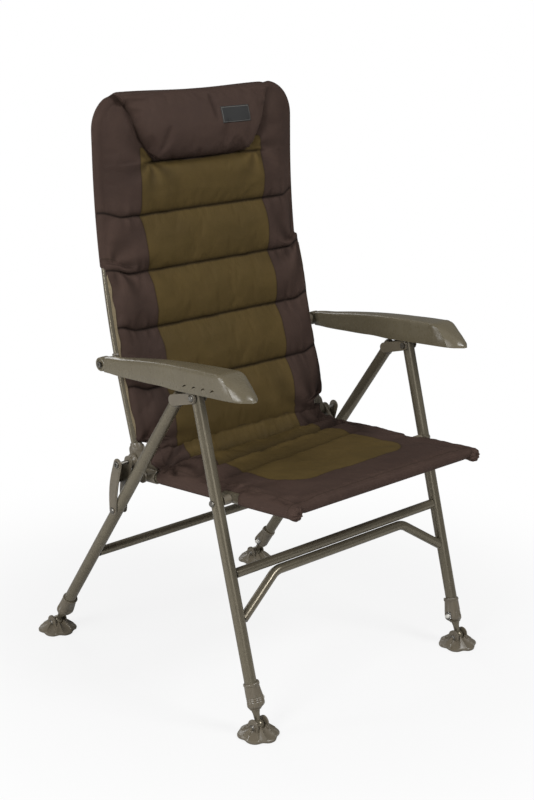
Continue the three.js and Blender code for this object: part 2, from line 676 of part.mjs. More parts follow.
function link(way) {
  const x = way * LEG_X;
  const outline = belt([[linkPin, LINK_FOOT_RADIUS], [hinge, LINK_TOP_RADIUS]]);
  const run = hinge.clone().sub(linkPin);
  const length = run.length();
  run.normalize();
  const outwardSide = side(run.y, -run.x);
  const place = (distance, width) => linkPin.clone().addScaledVector(run, distance)
    .addScaledVector(outwardSide, width);
  const plates = [-1, 1].map(hand => plate(outline, x + hand * earInner, x + hand * earOuter));
  const web = plate(polygon([
    place(LINK_WEB_FROM, LINK_FOOT_RADIUS - LINK_WEB), place(LINK_WEB_FROM, LINK_FOOT_RADIUS),
    place(length, LINK_TOP_RADIUS - 1), place(length, LINK_TOP_RADIUS - 1 - LINK_WEB),
  ]), x - earOuter, x + earOuter);
  const boss = crossRod(hinge, x - earOuter, x + earOuter, LINK_TOP_RADIUS * 0.7, 16);
  return cut(join(...plates, web, boss),
    crossRod(linkPin, x - CUT_OVERRUN, x + CUT_OVERRUN, boltHole, 12),
    crossRod(hinge, x - CUT_OVERRUN, x + CUT_OVERRUN, boltHole, 12));
}

function linkTopScrew(way) {
  const headRadius = BOLT_HEAD_DIAMETER / 2;
  const socket = headRadius * 0.5;
  const headX = LEG_X + earOuter + TOUCH_GAP;
  const length = headX - (LEG_X - earOuter);
  return turned(at(way * headX, hinge), at(way * (LEG_X - earOuter), hinge), [
    [0, -BOLT_HEAD_HEIGHT * 0.4], [socket, -BOLT_HEAD_HEIGHT * 0.4], [socket, -BOLT_HEAD_HEIGHT],
    [headRadius, -BOLT_HEAD_HEIGHT], [headRadius, 0], [BOLT_DIAMETER / 2, 0],
    [BOLT_DIAMETER / 2, length], [0, length],
  ], 10);
}

for (const [name, way] of Object.entries(SIDES)) {
  add(`rear_leg_tube_${name}`, legTube(way, onRearLeg(REAR_TUBE_TOP), onRearLeg(rearTubeEnd),
    [linkPin]), frameMetal);
  add(`rear_collar_${name}`, collar(way, onRearLeg, rearCollarTop), moulding);
  add(`rear_lock_button_${name}`, lockButton(way, onRearLeg, rearCollarTop), buttonGrey);
  add(`rear_inner_leg_${name}`,
    innerLeg(way, onRearLeg, rearCollarTop, rearFootDistance), frameMetal);
  add(`rear_foot_${name}`, foot(way, onRearLeg, rearFootDistance), moulding);
  add(`rear_leg_bracket_${name}`, rearBracket(way), frameMetal);
  add(`link_${name}`, link(way), moulding);
  add(`link_pin_${name}`, bolt(linkPin, way, LEG_X + earOuter + TOUCH_GAP,
    LEG_X - earOuter - TOUCH_GAP, BOLT_HEAD_DIAMETER / 2, BOLT_HEAD_HEIGHT / 2), steel);
  add(`link_top_screw_${name}`, linkTopScrew(way), steel);
}
add('rear_cross_tube', straightCross(onRearLeg, REAR_CROSS_DISTANCE), frameMetal);

// Back frame: one tube, up one side, over the top and down the other
const BACK_TUBE_RADIUS = BACK_TUBE_DIAMETER / 2;
const BACK_FOOT_RADIUS = 15;
const BACK_FOOT_LENGTH = 44;
const BACK_ARC_STEPS = 6;
const BACK_CORNER_STEPS = 5;
const backAngle = 90 - BACK_LEAN;
const backArcLength = BACK_ARC_RADIUS * RAD(BACK_ARC_ANGLE);
const backArcStart = along(hinge, backAngle, BACK_STRAIGHT);
const backArcCentre = along(backArcStart, backAngle + 90, BACK_ARC_RADIUS);
const topAngle = backAngle + BACK_ARC_ANGLE;

// The line of an upright's axis at a distance from the hinge, and the way that the back faces there
function backLine(distance) {
  const arc = Math.min(Math.max(distance - BACK_STRAIGHT, 0), backArcLength);
  const angle = backAngle + THREE.MathUtils.radToDeg(arc / BACK_ARC_RADIUS);
  const bend = arc > 0 ? along(backArcCentre, angle - 90, BACK_ARC_RADIUS) : backArcStart;
  const point = along(bend, angle, distance - BACK_STRAIGHT - arc);
  return { point, normal: along(side(0, 0), angle + 90, 1) };
}

// Distances of an upright's stations. The sleeve's start is one, so that sleeve and tube bend alike
const uprightEnd = BACK_LENGTH - BACK_CORNER_RADIUS;
const uprightStations = [
  BACK_TUBE_START, BACK_SLEEVE_FROM, uprightEnd,
  ...Array.from({ length: BACK_ARC_STEPS + 1 }, (_, step) =>
    BACK_STRAIGHT + backArcLength * step / BACK_ARC_STEPS),
].filter(distance => distance <= uprightEnd).sort((a, b) => a - b);

// Both uprights from a distance up, and the corners and the top rail between them
function backStations(from) {
  const upright = uprightStations.filter(distance => distance >= from)
    .map(distance => backLine(distance).point);
  const last = backLine(uprightEnd).point;
  const corner = x => at(x, backLine(BACK_LENGTH).point);
  const high = bent([at(-SEAT_X, last), corner(-SEAT_X), corner(SEAT_X), at(SEAT_X, last)],
    BACK_CORNER_RADIUS, BACK_CORNER_STEPS).slice(2, -2);
  const left = upright.map(point => at(-SEAT_X, point));
  const right = upright.map(point => at(SEAT_X, point)).reverse();
  return [...left, ...high, ...right];
}

const ARM_SCREW_RADIUS = 3.5;
const armScrewHole = ARM_SCREW_RADIUS + TOUCH_GAP;
const ARM_REAR_WIDTH = 22;
const armBossFace = LEG_X - ARM_REAR_WIDTH / 2 - TOUCH_GAP;

function backFoot(way) {
  const x = way * SEAT_X;
  const halfWidth = slotHalfWidth - TOUCH_GAP;
  const tip = along(hinge, backAngle, BACK_FOOT_LENGTH);
  const outline = belt([[hinge, BACK_FOOT_RADIUS], [tip, BACK_FOOT_RADIUS - 1]]);
  const flat = along(hinge, backAngle, BACK_FOOT_LENGTH);
  const beyond = along(flat, backAngle, CUT_OVERRUN);
  const across = along(side(0, 0), backAngle + 90, CUT_OVERRUN);
  const top = polygon([
    flat.clone().sub(across), beyond.clone().sub(across), beyond.clone().add(across),
    flat.clone().add(across),
  ]);
  const socketFloor = along(hinge, backAngle, BACK_TUBE_START - TOUCH_GAP);
  return cut(plate(outline, x - halfWidth, x + halfWidth),
    plate(top, x - CUT_OVERRUN, x + CUT_OVERRUN),
    rod(at(x, socketFloor), at(x, beyond), BACK_TUBE_RADIUS + TOUCH_GAP * 2, 14),
    crossRod(hinge, x - CUT_OVERRUN, x + CUT_OVERRUN, boltHole, 12));
}

const BRACKET_CLAMP = 18;
const BRACKET_CLAMP_OFFSET = 2;
const BRACKET_BOSS_ROOT = 4;
const BRACKET_BOSS_RADIUS = 12;
const BRACKET_WALL = 9;

// The moulded saddle on the back tube that the armrest's rear end is screwed to
function armBracket(way) {
  const tubePoint = side(
    hinge.x + (armPivot.y - hinge.y) * Math.tan(RAD(BACK_LEAN)) - BRACKET_CLAMP_OFFSET, armPivot.y);
  const outline = belt([
    [along(tubePoint, backAngle + 180, BRACKET_CLAMP * 0.4), BRACKET_CLAMP * 0.75],
    [along(tubePoint, backAngle, BRACKET_CLAMP * 0.6), BRACKET_CLAMP * 0.75],
  ]);
  const x0 = way * (SEAT_X - TOUCH_GAP);
  const x1 = way * (SEAT_X + BACK_TUBE_RADIUS + BRACKET_WALL);
  const tubeHole = tubeAlong(uprightStations.map(distance =>
    at(way * SEAT_X, backLine(distance).point)), BACK_TUBE_RADIUS + TOUCH_GAP, 0);
  return cut(
    join(plate(outline, x0, x1), crossRod(armPivot, x1 - way * BRACKET_BOSS_ROOT, way * armBossFace,
      BRACKET_BOSS_RADIUS, 14)),
    tubeHole, crossRod(armPivot, x0, way * (armBossFace + CUT_OVERRUN), armScrewHole, 12));
}

function backHingeBolt(way) {
  const inner = SEAT_X - KNUCKLE_HALF_WIDTH - TOUCH_GAP;
  const outer = LEG_X - earOuter - TOUCH_GAP;
  const headRadius = BOLT_HEAD_DIAMETER / 2;
  return turned(at(way * inner, hinge), at(way * outer, hinge), [
    [0, -BOLT_HEAD_HEIGHT], [headRadius, -BOLT_HEAD_HEIGHT], [headRadius, 0], [BOLT_DIAMETER / 2, 0],
    [BOLT_DIAMETER / 2, outer - inner - 1], [0, outer - inner - 1],
  ], 12);
}

function armScrew(way) {
  const outer = LEG_X + ARM_REAR_WIDTH / 2 + TOUCH_GAP;
  const inner = SEAT_X + BACK_TUBE_RADIUS + 4;
  return turned(at(way * outer, armPivot), at(way * inner, armPivot), [
    [0, -BOLT_HEAD_HEIGHT * 0.4], [ARM_SCREW_RADIUS * 0.8, -BOLT_HEAD_HEIGHT * 0.4],
    [ARM_SCREW_RADIUS * 0.8, -BOLT_HEAD_HEIGHT * 0.8], [ARM_SCREW_RADIUS * 1.8, -BOLT_HEAD_HEIGHT * 0.8],
    [ARM_SCREW_RADIUS * 1.8, 0], [ARM_SCREW_RADIUS, 0], [ARM_SCREW_RADIUS, outer - inner],
    [0, outer - inner],
  ], 12);
}

// Armrest: a long moulded shell, arched on top, open below, with a notched rack inside
const ARM_FRONT_WIDTH = 60;
const ARM_WALL = 4;
const ARM_NOSE = 172.5;
const ARM_RISE = 62.5;
const ARM_EYE = 15;
const RACK_PITCH = 28;
const RACK_NOTCHES = 5;
const RACK_NOTCH_RADIUS = 9;
const RACK_HALF_WIDTH = 9;
const RACK_CLEARANCE = 17;
const SLIT_LENGTH = 6;
const SLIT_HEIGHT = 1.8;

// Side outline of the armrest from its rear pivot: the distance forward as a share of the armrest's
// reach, and its underside and top as shares of its rise
const armStationShares = [
  { forward: -0.029, low: -0.064, high: 0.08 },
  { forward: -0.0215, low: -0.16, high: 0.176 },
  { forward: 0, low: -0.224, high: 0.24 },
  { forward: 0.054, low: -0.208, high: 0.304 },
  { forward: 0.13, low: -0.184, high: 0.384 },
  { forward: 0.238, low: -0.12, high: 0.528 },
  { forward: 0.357, low: -0.048, high: 0.672 },
  { forward: 0.444, low: 0.016, high: 0.76 },
  { forward: 0.531, low: 0.04, high: 0.832 },
  { forward: 0.628, low: 0.104, high: 0.896 },
  { forward: 0.747, low: 0.192, high: 0.968 },
  { forward: 0.843, low: 0.256, high: 1 },
  { forward: 0.899, low: 0.288, high: 0.904 },
  { forward: 0.953, low: 0.32, high: 0.768 },
  { forward: 0.992, low: 0.4, high: 0.632 },
  { forward: 1, low: 0.496, high: 0.576 },
];
const ARM_TAPER_SHARE = 0.843;
const ARM_TIP_NARROWING_SHARE = 0.14;
const pivotForward = armPivot.x - topPivot.x;
const armReach = pivotForward + ARM_NOSE;
const armStations = armStationShares.map(({ forward, low, high }) =>
  ({ forward: forward * armReach, low: low * ARM_RISE, high: high * ARM_RISE }));

const armWidth = forward => {
  const taper = armReach * ARM_TAPER_SHARE;
  const share = Math.min(Math.max((forward - ARM_EYE) / (taper - ARM_EYE), 0), 1);
  const tip = Math.max((forward - taper) / (armReach - taper), 0);
  return (ARM_REAR_WIDTH + (ARM_FRONT_WIDTH - ARM_REAR_WIDTH) * share)
    * (1 - ARM_TIP_NARROWING_SHARE * tip * tip);
};

// One closed section across the armrest, rounded at the top and eased below
function armSection(way, forward, low, high, inset) {
  const half = armWidth(forward) / 2 - inset;
  const bottom = armPivot.y + low;
  const top = armPivot.y + high - inset;
  const height = top - bottom;
  const round = Math.min(half, height) * 0.42;
  const ease = Math.min(half, height) * 0.12;
  const outline = [
    [-half + ease, 0], [half - ease, 0], [half, ease], [half, height - round],
    [half - round * 0.3, height - round * 0.3], [half - round, height],
    [-half + round, height], [-half + round * 0.3, height - round * 0.3], [-half, height - round],
    [-half, ease],
  ];
  return outline.map(([across, up]) =>
    new THREE.Vector3(way * LEG_X + across, armPivot.x - forward, bottom + up));
}

// The underside or the top at a distance forward
function armEdge(forward, edge) {
  const index = Math.max(armStations.findIndex(station => station.forward >= forward), 1);
  const before = armStations[index - 1];
  const after = armStations[index];
  const share = (forward - before.forward) / (after.forward - before.forward);
  return before[edge] + (after[edge] - before[edge]) * share;
}

const armLow = forward => armEdge(forward, 'low');
const armHigh = forward => armEdge(forward, 'high');

const CHANNEL_SHARES = [0.2, 0.967];

function armrest(way) {
  const x = way * LEG_X;
  const shell = loft(armStations.map(station =>
    armSection(way, station.forward, station.low, station.high, 0)));
  const hollowStations = armStations.filter(station =>
    station.forward > armReach * CHANNEL_SHARES[0] && station.forward < armReach * CHANNEL_SHARES[1]);
  const hollow = loft(hollowStations.map(station => armSection(way, station.forward,
    station.low - CUT_OVERRUN, station.high, ARM_WALL)));
  // The rack hangs from the roof over the legs' top pivot and forward of it
  const rackStart = pivotForward - RACK_PITCH * 0.45;
  const rackEnd = pivotForward + RACK_PITCH * (RACK_NOTCHES - 0.5);
  const rackLow = forward => armLow(forward) - armLow(pivotForward) + topPivot.y + RACK_CLEARANCE
    - armPivot.y;
  const rackPoint = (forward, up) => side(armPivot.x - forward, armPivot.y + up);
  const rackShape = polygon([
    rackPoint(rackEnd, rackLow(rackEnd)), rackPoint(rackStart, rackLow(rackStart)),
    rackPoint(rackStart, armHigh(rackStart) - ARM_WALL / 2),
    rackPoint(rackEnd, armHigh(rackEnd) - ARM_WALL / 2),
  ]);
  const rack = cut(plate(rackShape, x - RACK_HALF_WIDTH, x + RACK_HALF_WIDTH),
    ...Array.from({ length: RACK_NOTCHES }, (_, notchIndex) => {
      const forward = pivotForward + RACK_PITCH * notchIndex;
      return crossRod(rackPoint(forward, rackLow(forward) + 1),
        x - CUT_OVERRUN, x + CUT_OVERRUN, RACK_NOTCH_RADIUS, 8);
    }));
  const slits = Array.from({ length: RACK_NOTCHES - 1 }, (_, slit) => {
    const forward = pivotForward - RACK_PITCH * 0.35 + RACK_PITCH * slit;
    const centre = rackPoint(forward, armLow(forward) + 13);
    const outerX = x + way * (armWidth(forward) / 2 - ARM_WALL - 1);
    return plate(polygon([
      side(centre.x - SLIT_LENGTH, centre.y - SLIT_HEIGHT), side(centre.x, centre.y),
      side(centre.x + SLIT_LENGTH * 0.6, centre.y - SLIT_HEIGHT * 0.6),
      side(centre.x, centre.y + SLIT_HEIGHT),
    ]), outerX, outerX + way * CUT_OVERRUN);
  });
  return cut(join(cut(shell, hollow), rack),
    crossRod(armPivot, x - CUT_OVERRUN, x + CUT_OVERRUN, armScrewHole, 12), ...slits);
}

add('back_frame_tube', tubeAlong(backStations(BACK_TUBE_START), BACK_TUBE_RADIUS, 0),
  frameMetal);
for (const [name, way] of Object.entries(SIDES)) {
  add(`back_tube_foot_${name}`, backFoot(way), moulding);
  add(`arm_bracket_${name}`, armBracket(way), moulding);
  add(`back_hinge_bolt_${name}`, backHingeBolt(way), steel);
  add(`arm_screw_${name}`, armScrew(way), steel);
  add(`armrest_${name}`, armrest(way), moulding);
}

// Soft goods. A cushion is a stack of rings along its length, each ring its front then its rear
const CUSHION_FACE_POINTS = 10;
const CUSHION_REAR_POINTS = 3;

// Swell between two seams, 0 at a seam and 1 midway
function swell(distance, seams) {
  const index = seams.findIndex(seam => seam >= distance);
  const after = seams[Math.max(index, 1)];
  const before = seams[Math.max(index, 1) - 1];
  const place = 2 * (distance - before) / (after - before) - 1;
  return 1 - Math.min(Math.abs(place), 1) ** 2.4;
}

// Rings at each seam and at shares of the way between seams
function cushionStations(seams, shares) {
  const stations = [];
  seams.slice(1).forEach((seam, index) => {
    shares.forEach(share => stations.push(seams[index] + (seam - seams[index]) * share));
  });
  stations.push(seams.at(-1));
  return stations;
}

// place gives the middle line's side plane point and the direction of the cushion's face
function cushion(stations, shape, place) {
  return loft(stations.map(distance => {
    const { half, front, rear, edge } = shape(distance);
    const { point, normal } = place(distance);
    const ring = [];
    for (let index = 0; index <= CUSHION_FACE_POINTS; index += 1) {
      const across = -1 + 2 * index / CUSHION_FACE_POINTS;
      const drawn = 1 - Math.abs(across) ** 3.2;
      const lift = edge + (front - edge) * drawn;
      ring.push(at(across * half, point.clone().addScaledVector(normal, lift)));
    }
    for (let index = 0; index <= CUSHION_REAR_POINTS; index += 1) {
      const across = 1 - 2 * index / CUSHION_REAR_POINTS;
      ring.push(at(across * half * 0.995, point.clone().addScaledVector(normal, rear)));
    }
    return ring;
  }));
}

const PAD_SHARES = [0, 0.08, 0.25, 0.5, 0.75, 0.92];
const PAD_BESIDE_KNUCKLE = 6;
const SEAT_PAD_HALF_WIDTH = SEAT_X - seatSleeveRadius - TOUCH_GAP;
const PAD_HALF_AT_HINGE = SEAT_X - KNUCKLE_HALF_WIDTH - PAD_BESIDE_KNUCKLE;
const SEAT_PAD_UNDER = -9;
const SEAT_PAD_EDGE = 3;
const SEAT_PAD_SEAM = 7;
const SEAT_PAD_CROWN = 15;
const SEAT_PAD_NARROW_FROM = 138;
const SEAT_PAD_NARROW_TO = 152;
// Behind the seat tubes' last tuft the pad curls up in front of the hinge, to meet the back
const SEAT_CURL_FROM = 172;
const SEAT_CURL_RADIUS = 40;
const SEAT_CURL_ANGLE = 82;
const SEAT_CURL_LIFT = 5;
const seatCurlEnd = SEAT_CURL_FROM + SEAT_CURL_RADIUS * RAD(SEAT_CURL_ANGLE);
const seatSeamShares = [0, 0.2, 0.38, 0.56, 0.77, 1];
const seatSeams = [...seatSeamShares.map(share =>
  SEAT_FRONT + (SEAT_CURL_FROM - SEAT_FRONT) * share), seatCurlEnd];

function seatPadLine(distance) {
  if (distance <= SEAT_CURL_FROM) return { point: seatLine(distance), normal: side(0, 1) };
  const turn = (distance - SEAT_CURL_FROM) / SEAT_CURL_RADIUS;
  const normal = side(-Math.sin(turn), Math.cos(turn));
  const centre = seatLine(SEAT_CURL_FROM).add(side(0, SEAT_CURL_RADIUS));
  return { point: centre.addScaledVector(normal, -SEAT_CURL_RADIUS), normal };
}

const seatPad = cushion(cushionStations(seatSeams, PAD_SHARES), distance => {
  const rise = swell(distance, seatSeams);
  const curl = THREE.MathUtils.smoothstep(distance, seatSeams[4], SEAT_CURL_FROM + SEAT_CURL_RADIUS / 2);
  const narrow = THREE.MathUtils.smoothstep(distance, SEAT_PAD_NARROW_FROM, SEAT_PAD_NARROW_TO);
  const full = SEAT_PAD_SEAM + (SEAT_PAD_CROWN - SEAT_PAD_SEAM) * rise;
  return {
    half: SEAT_PAD_HALF_WIDTH + (PAD_HALF_AT_HINGE - SEAT_PAD_HALF_WIDTH) * narrow,
    front: full + (SEAT_CURL_LIFT - full) * curl,
    rear: SEAT_PAD_UNDER,
    edge: SEAT_PAD_EDGE,
  };
}, seatPadLine);
add('seat_pad', seatPad, oliveFabric);

// Distances up the back from the hinge, along the tube's line
const PAD_BACK_START = 30;
const PAD_TOP_INSET = 12;
const backSeamShares = [0, 0.155, 0.334, 0.506, 0.676, 0.828, 1];
const backSeams = backSeamShares.map(share =>
  PAD_BACK_START + (BACK_LENGTH - PAD_TOP_INSET - PAD_BACK_START) * share);
const BACK_PAD_LOW_LIFT = 15;
const BACK_WIDE_FROM = 47;
const BACK_WIDE_TO = 72;
const BACK_THICK_BY = 132;
const BACK_PAD_HALF_UPPER = 270;
const BACK_PAD_HALF_LOWER = 250;
const backSleeveRadius = BACK_TUBE_RADIUS + TOUCH_GAP + SLEEVE_CLOTH;
const backPadRear = backSleeveRadius + TOUCH_GAP;
const BACK_PAD_EDGE = 21;
const BACK_PAD_SEAM = 27;
const BACK_PAD_CROWN = 41;
const PILLOW_SEAT = 25;
const PILLOW_SEAM = 12;
const BACK_NARROW_TO = 392;
const BACK_NARROW_RUN = 30;

const PILLOW_LOW = backSeams.at(-2);
const backPad = cushion(cushionStations(backSeams, PAD_SHARES), distance => {
  const rise = swell(distance, backSeams);
  const upper = THREE.MathUtils.smoothstep(distance, BACK_NARROW_TO - BACK_NARROW_RUN, BACK_NARROW_TO);
  const lower = THREE.MathUtils.smoothstep(distance, BACK_WIDE_FROM, BACK_WIDE_TO);
  const corner = Math.max(distance - (backSeams.at(-1) - BACK_CORNER_RADIUS), 0);
  const inward = BACK_CORNER_RADIUS - Math.sqrt(BACK_CORNER_RADIUS ** 2 - corner ** 2 * 0.95);
  const underPillow = distance > PILLOW_LOW - PILLOW_SEAM;
  const full = underPillow ? PILLOW_SEAT : BACK_PAD_SEAM + (BACK_PAD_CROWN - BACK_PAD_SEAM) * rise;
  const thin = THREE.MathUtils.smoothstep(distance, PAD_BACK_START, BACK_THICK_BY);
  const front = BACK_PAD_LOW_LIFT + (full - BACK_PAD_LOW_LIFT) * thin;
  return {
    half: PAD_HALF_AT_HINGE + (BACK_PAD_HALF_LOWER - PAD_HALF_AT_HINGE) * lower
      + (BACK_PAD_HALF_UPPER - BACK_PAD_HALF_LOWER) * upper - inward,
    front,
    rear: backPadRear * Math.min(thin * 2 + 0.2, 1),
    edge: Math.min(BACK_PAD_EDGE, front),
  };
}, backLine);
add('back_pad', backPad, oliveFabric);

const PILLOW_TOP_HALF = 205;
const PILLOW_LOW_HALF = 148;
const PILLOW_CROWN = 50;
const PILLOW_SIDE = 28;
const PILLOW_TOP_INSET = 4;
const PILLOW_TOP = backSeams.at(-1) - PILLOW_TOP_INSET;
const pillowShares = [0, 0.06, 0.2, 0.4, 0.6, 0.8, 0.94, 1];
const pillow = cushion(pillowShares.map(share =>
  PILLOW_LOW + (PILLOW_TOP - PILLOW_LOW) * share), distance => {
  const share = (distance - PILLOW_LOW) / (PILLOW_TOP - PILLOW_LOW);
  const rise = 1 - Math.abs(2 * share - 1) ** 3;
  return {
    half: PILLOW_LOW_HALF + (PILLOW_TOP_HALF - PILLOW_LOW_HALF) * share,
    front: PILLOW_SIDE + (PILLOW_CROWN - PILLOW_SIDE) * rise,
    rear: PILLOW_SEAT + TOUCH_GAP,
    edge: PILLOW_SIDE,
  };
}, backLine);
add('headrest_pillow', pillow, brownFabric);

// The cover's tunnel round the upper part of the back tube
add('back_sleeve', tubeAlong(backStations(BACK_SLEEVE_FROM), backSleeveRadius,
  BACK_TUBE_RADIUS + TOUCH_GAP), brownFabric);

// The origin goes under the centre of the outline
const frontReach = seatStart.x - PLUG_FLANGE * seatDirection.x
  + PLUG_FLANGE_RADIUS * PLUG_NOSE * seatDirection.y;
const rearReach = onRearLeg(rearFootDistance).x + FOOT_RADIUS;
chair.position.y = -(frontReach + rearReach) / 2;

export const joints = { topPivot, seatPivot, hinge, armPivot, linkPin, shift: chair.position.y,
  frontFoot: onFrontLeg(frontFootDistance), rearFoot: onRearLeg(rearFootDistance),
  frontButton: onFrontLeg(frontCollarTop + BUTTON_DROP + 6),
  rearButton: onRearLeg(rearCollarTop + BUTTON_DROP + 6), LEG_X, SEAT_X, BUTTON_TRAVEL };

export default chair;
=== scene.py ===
# Looks of the carp fishing armchair: the sewn cover as simulated padded cloth, detailed mouldings, and
# procedural materials for every piece. Lengths in the tables are millimetres, with Y = 0 at the legs'
# top pivot, and place() turns them into the frame's metres.

import math

import bmesh
import bpy
import numpy as np
from mathutils import Matrix, Vector, noise
from mathutils.bvhtree import BVHTree


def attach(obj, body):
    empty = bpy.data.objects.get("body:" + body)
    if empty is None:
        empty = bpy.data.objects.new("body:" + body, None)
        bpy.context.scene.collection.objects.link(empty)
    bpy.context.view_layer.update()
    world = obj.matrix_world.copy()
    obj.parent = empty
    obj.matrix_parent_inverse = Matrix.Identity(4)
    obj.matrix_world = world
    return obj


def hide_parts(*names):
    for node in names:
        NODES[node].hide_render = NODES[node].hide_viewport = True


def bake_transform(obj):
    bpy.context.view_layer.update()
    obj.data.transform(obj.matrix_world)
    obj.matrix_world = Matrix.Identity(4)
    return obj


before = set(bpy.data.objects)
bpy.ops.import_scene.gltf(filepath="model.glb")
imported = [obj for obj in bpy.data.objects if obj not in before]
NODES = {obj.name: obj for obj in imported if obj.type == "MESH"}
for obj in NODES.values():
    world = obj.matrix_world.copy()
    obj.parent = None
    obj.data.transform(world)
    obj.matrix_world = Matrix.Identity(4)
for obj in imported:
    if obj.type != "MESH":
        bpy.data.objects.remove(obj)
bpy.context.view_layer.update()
SCENE = bpy.context.scene
SHIFT = -136.962
SIDES = (("left", -1.0), ("right", 1.0))


def places(array):
    """An array of millimetre points (…, 3) as metres in the frame."""
    out = np.array(array, dtype=float)
    out[..., 1] += SHIFT
    return out / 1000.0


def smooth(a, b, x):
    """A smooth step from 0 at a to 1 at b."""
    t = np.clip((np.asarray(x, dtype=float) - a) / (b - a), 0.0, 1.0)
    return t * t * (3.0 - 2.0 * t)


# Materials


class Tree:
    """A short way to write a node tree, of a material or of the world."""

    def __init__(self, name, owner=None, output="ShaderNodeOutputMaterial"):
        self.material = owner or bpy.data.materials.new(name)
        self.material.use_nodes = True
        self.tree = self.material.node_tree
        self.tree.nodes.clear()
        self.out = self.add(output)

    def add(self, kind, **settings):
        node = self.tree.nodes.new(kind)
        for key, value in settings.items():
            setattr(node, key, value)
        return node

    def put(self, socket, value):
        if hasattr(value, "is_output"):
            self.tree.links.new(value, socket)
        elif value is not None:
            socket.default_value = value

    def fed(self, kind, given, **settings):
        """A new node with its sockets, by name or number, set or linked."""
        node = self.add(kind, **settings)
        for key, value in given.items():
            self.put(node.inputs[key], value)
        return node

    def math(self, kind, a, b=None):
        return self.fed("ShaderNodeMath", {0: a, 1: b}, operation=kind).outputs[0]

    def mix(self, factor, a, b, blend="MIX"):
        given = {0: factor, 6: a, 7: b}
        return self.fed("ShaderNodeMix", given, data_type="RGBA", blend_type=blend).outputs[2]

    def noise(self, vector, scale, detail=3.0, rough=0.55, distort=0.0):
        return self.fed("ShaderNodeTexNoise", {"Vector": vector, "Scale": scale, "Detail": detail,
                                               "Roughness": rough, "Distortion": distort}).outputs[0]

    def range(self, value, low, high, to_low=0.0, to_high=1.0, smoothly=False):
        kind = "SMOOTHSTEP" if smoothly else "LINEAR"
        return self.fed("ShaderNodeMapRange", {0: value, 1: low, 2: high, 3: to_low, 4: to_high}, clamp=True,
                        interpolation_type=kind).outputs[0]

    def coordinates(self, kind):
        return self.add("ShaderNodeTexCoord").outputs[kind]

    def attribute(self, name):
        return self.add("ShaderNodeAttribute", attribute_name=name).outputs["Fac"]

    def scaled(self, vector, scale):
        return self.fed("ShaderNodeMapping", {"Vector": vector, "Scale": scale}).outputs[0]

    def split(self, vector):
        return self.fed("ShaderNodeSeparateXYZ", {0: vector}).outputs

    def bump(self, height, strength, distance, before=None):
        return self.fed("ShaderNodeBump", {"Strength": strength, "Distance": distance, "Height": height,
                                           "Normal": before}).outputs[0]

    def surface(self, shader):
        self.put(self.out.inputs["Surface"], shader)
        return self.material

    def plain(self, colour, rough, normal=None, **fixed):
        """A principled shader's output."""
        given = {"Base Color": colour, "Roughness": rough, "Normal": normal}
        given.update({key.replace("_", " "): value for key, value in fixed.items()})
        return self.fed("ShaderNodeBsdfPrincipled", given).outputs[0]

    def shader(self, colour, rough, normal, **fixed):
        return self.surface(self.plain(colour, rough, normal, **fixed))

    def lit(self, kind, strength):
        """A white background or emission shader."""
        return self.fed(kind, {"Color": (1.0, 1.0, 1.0, 1.0), "Strength": strength}).outputs[0]

    def blended(self, factor, first, second):
        return self.surface(self.fed("ShaderNodeMixShader", {0: factor, 1: first, 2: second}).outputs[0])

    def seen(self):
        """1 for rays that come from the camera, also through something clear."""
        rays = self.add("ShaderNodeLightPath").outputs
        return self.math("MAXIMUM", rays["Is Camera Ray"], rays["Is Transmission Ray"])


def rgb(r, g, b):
    """Linear colour of an sRGB triple from 0 to 255."""
    def line(v):
        v /= 255.0
        return v / 12.92 if v <= 0.04045 else ((v + 0.055) / 1.055) ** 2.4
    return (line(r), line(g), line(b), 1.0)


def scaled_colour(colour, factor):
    return tuple(min(1.0, c * factor) for c in colour[:3]) + (1.0,)


def painted(name, colour, dark, metal, rough):
    """Metallic powder coat: fine flake, faint orange peel and rubbed edges."""
    t = Tree(name)
    at = t.coordinates("Object")
    cloud = t.noise(at, 9.0, 4.0)
    flake = t.fed("ShaderNodeTexVoronoi", {"Vector": at, "Scale": 2600.0}).outputs[0]
    tone = t.mix(t.range(cloud, 0.35, 0.68), dark, colour)
    light = scaled_colour(colour, 1.5)
    tone = t.mix(t.range(flake, 0.0, 0.3, 0.05, 0.0), tone, light)
    edge = t.add("ShaderNodeNewGeometry").outputs["Pointiness"]
    rub = t.math("MULTIPLY", t.range(edge, 0.53, 0.62), t.range(t.noise(at, 60.0, 5.0), 0.42, 0.7))
    tone = t.mix(t.math("MULTIPLY", rub, 0.2), tone, light)
    roughness = t.range(t.noise(at, 38.0, 5.0), 0.3, 0.7, rough - 0.03, rough + 0.05)
    peel = t.bump(t.noise(at, 420.0, 2.0), 0.02, 0.0003)
    return t.shader(tone, roughness, peel, Metallic=metal)


def moulded(name, colour, dark, rough):
    """Glass filled nylon: spark eroded grain, slight flow marks and paler rubbed edges."""
    t = Tree(name)
    at = t.coordinates("Object")
    cloud = t.noise(at, 14.0, 5.0, 0.6, 0.4)
    tone = t.mix(t.range(cloud, 0.32, 0.7), dark, colour)
    speck = t.noise(at, 900.0, 2.0)
    tone = t.mix(t.range(speck, 0.55, 0.8, 0.0, 0.1), tone, scaled_colour(colour, 1.35))
    edge = t.add("ShaderNodeNewGeometry").outputs["Pointiness"]
    worn = t.math("MULTIPLY", t.range(edge, 0.53, 0.63), t.range(t.noise(at, 70.0, 4.0), 0.35, 0.7))
    tone = t.mix(t.math("MULTIPLY", worn, 0.22), tone, scaled_colour(colour, 1.6))
    roughness = t.range(t.noise(at, 55.0, 4.0), 0.3, 0.7, rough - 0.08, rough + 0.1)
    fine = t.bump(t.noise(at, 1500.0, 3.0, 0.7), 0.18, 0.00018)
    return t.shader(tone, roughness, fine)


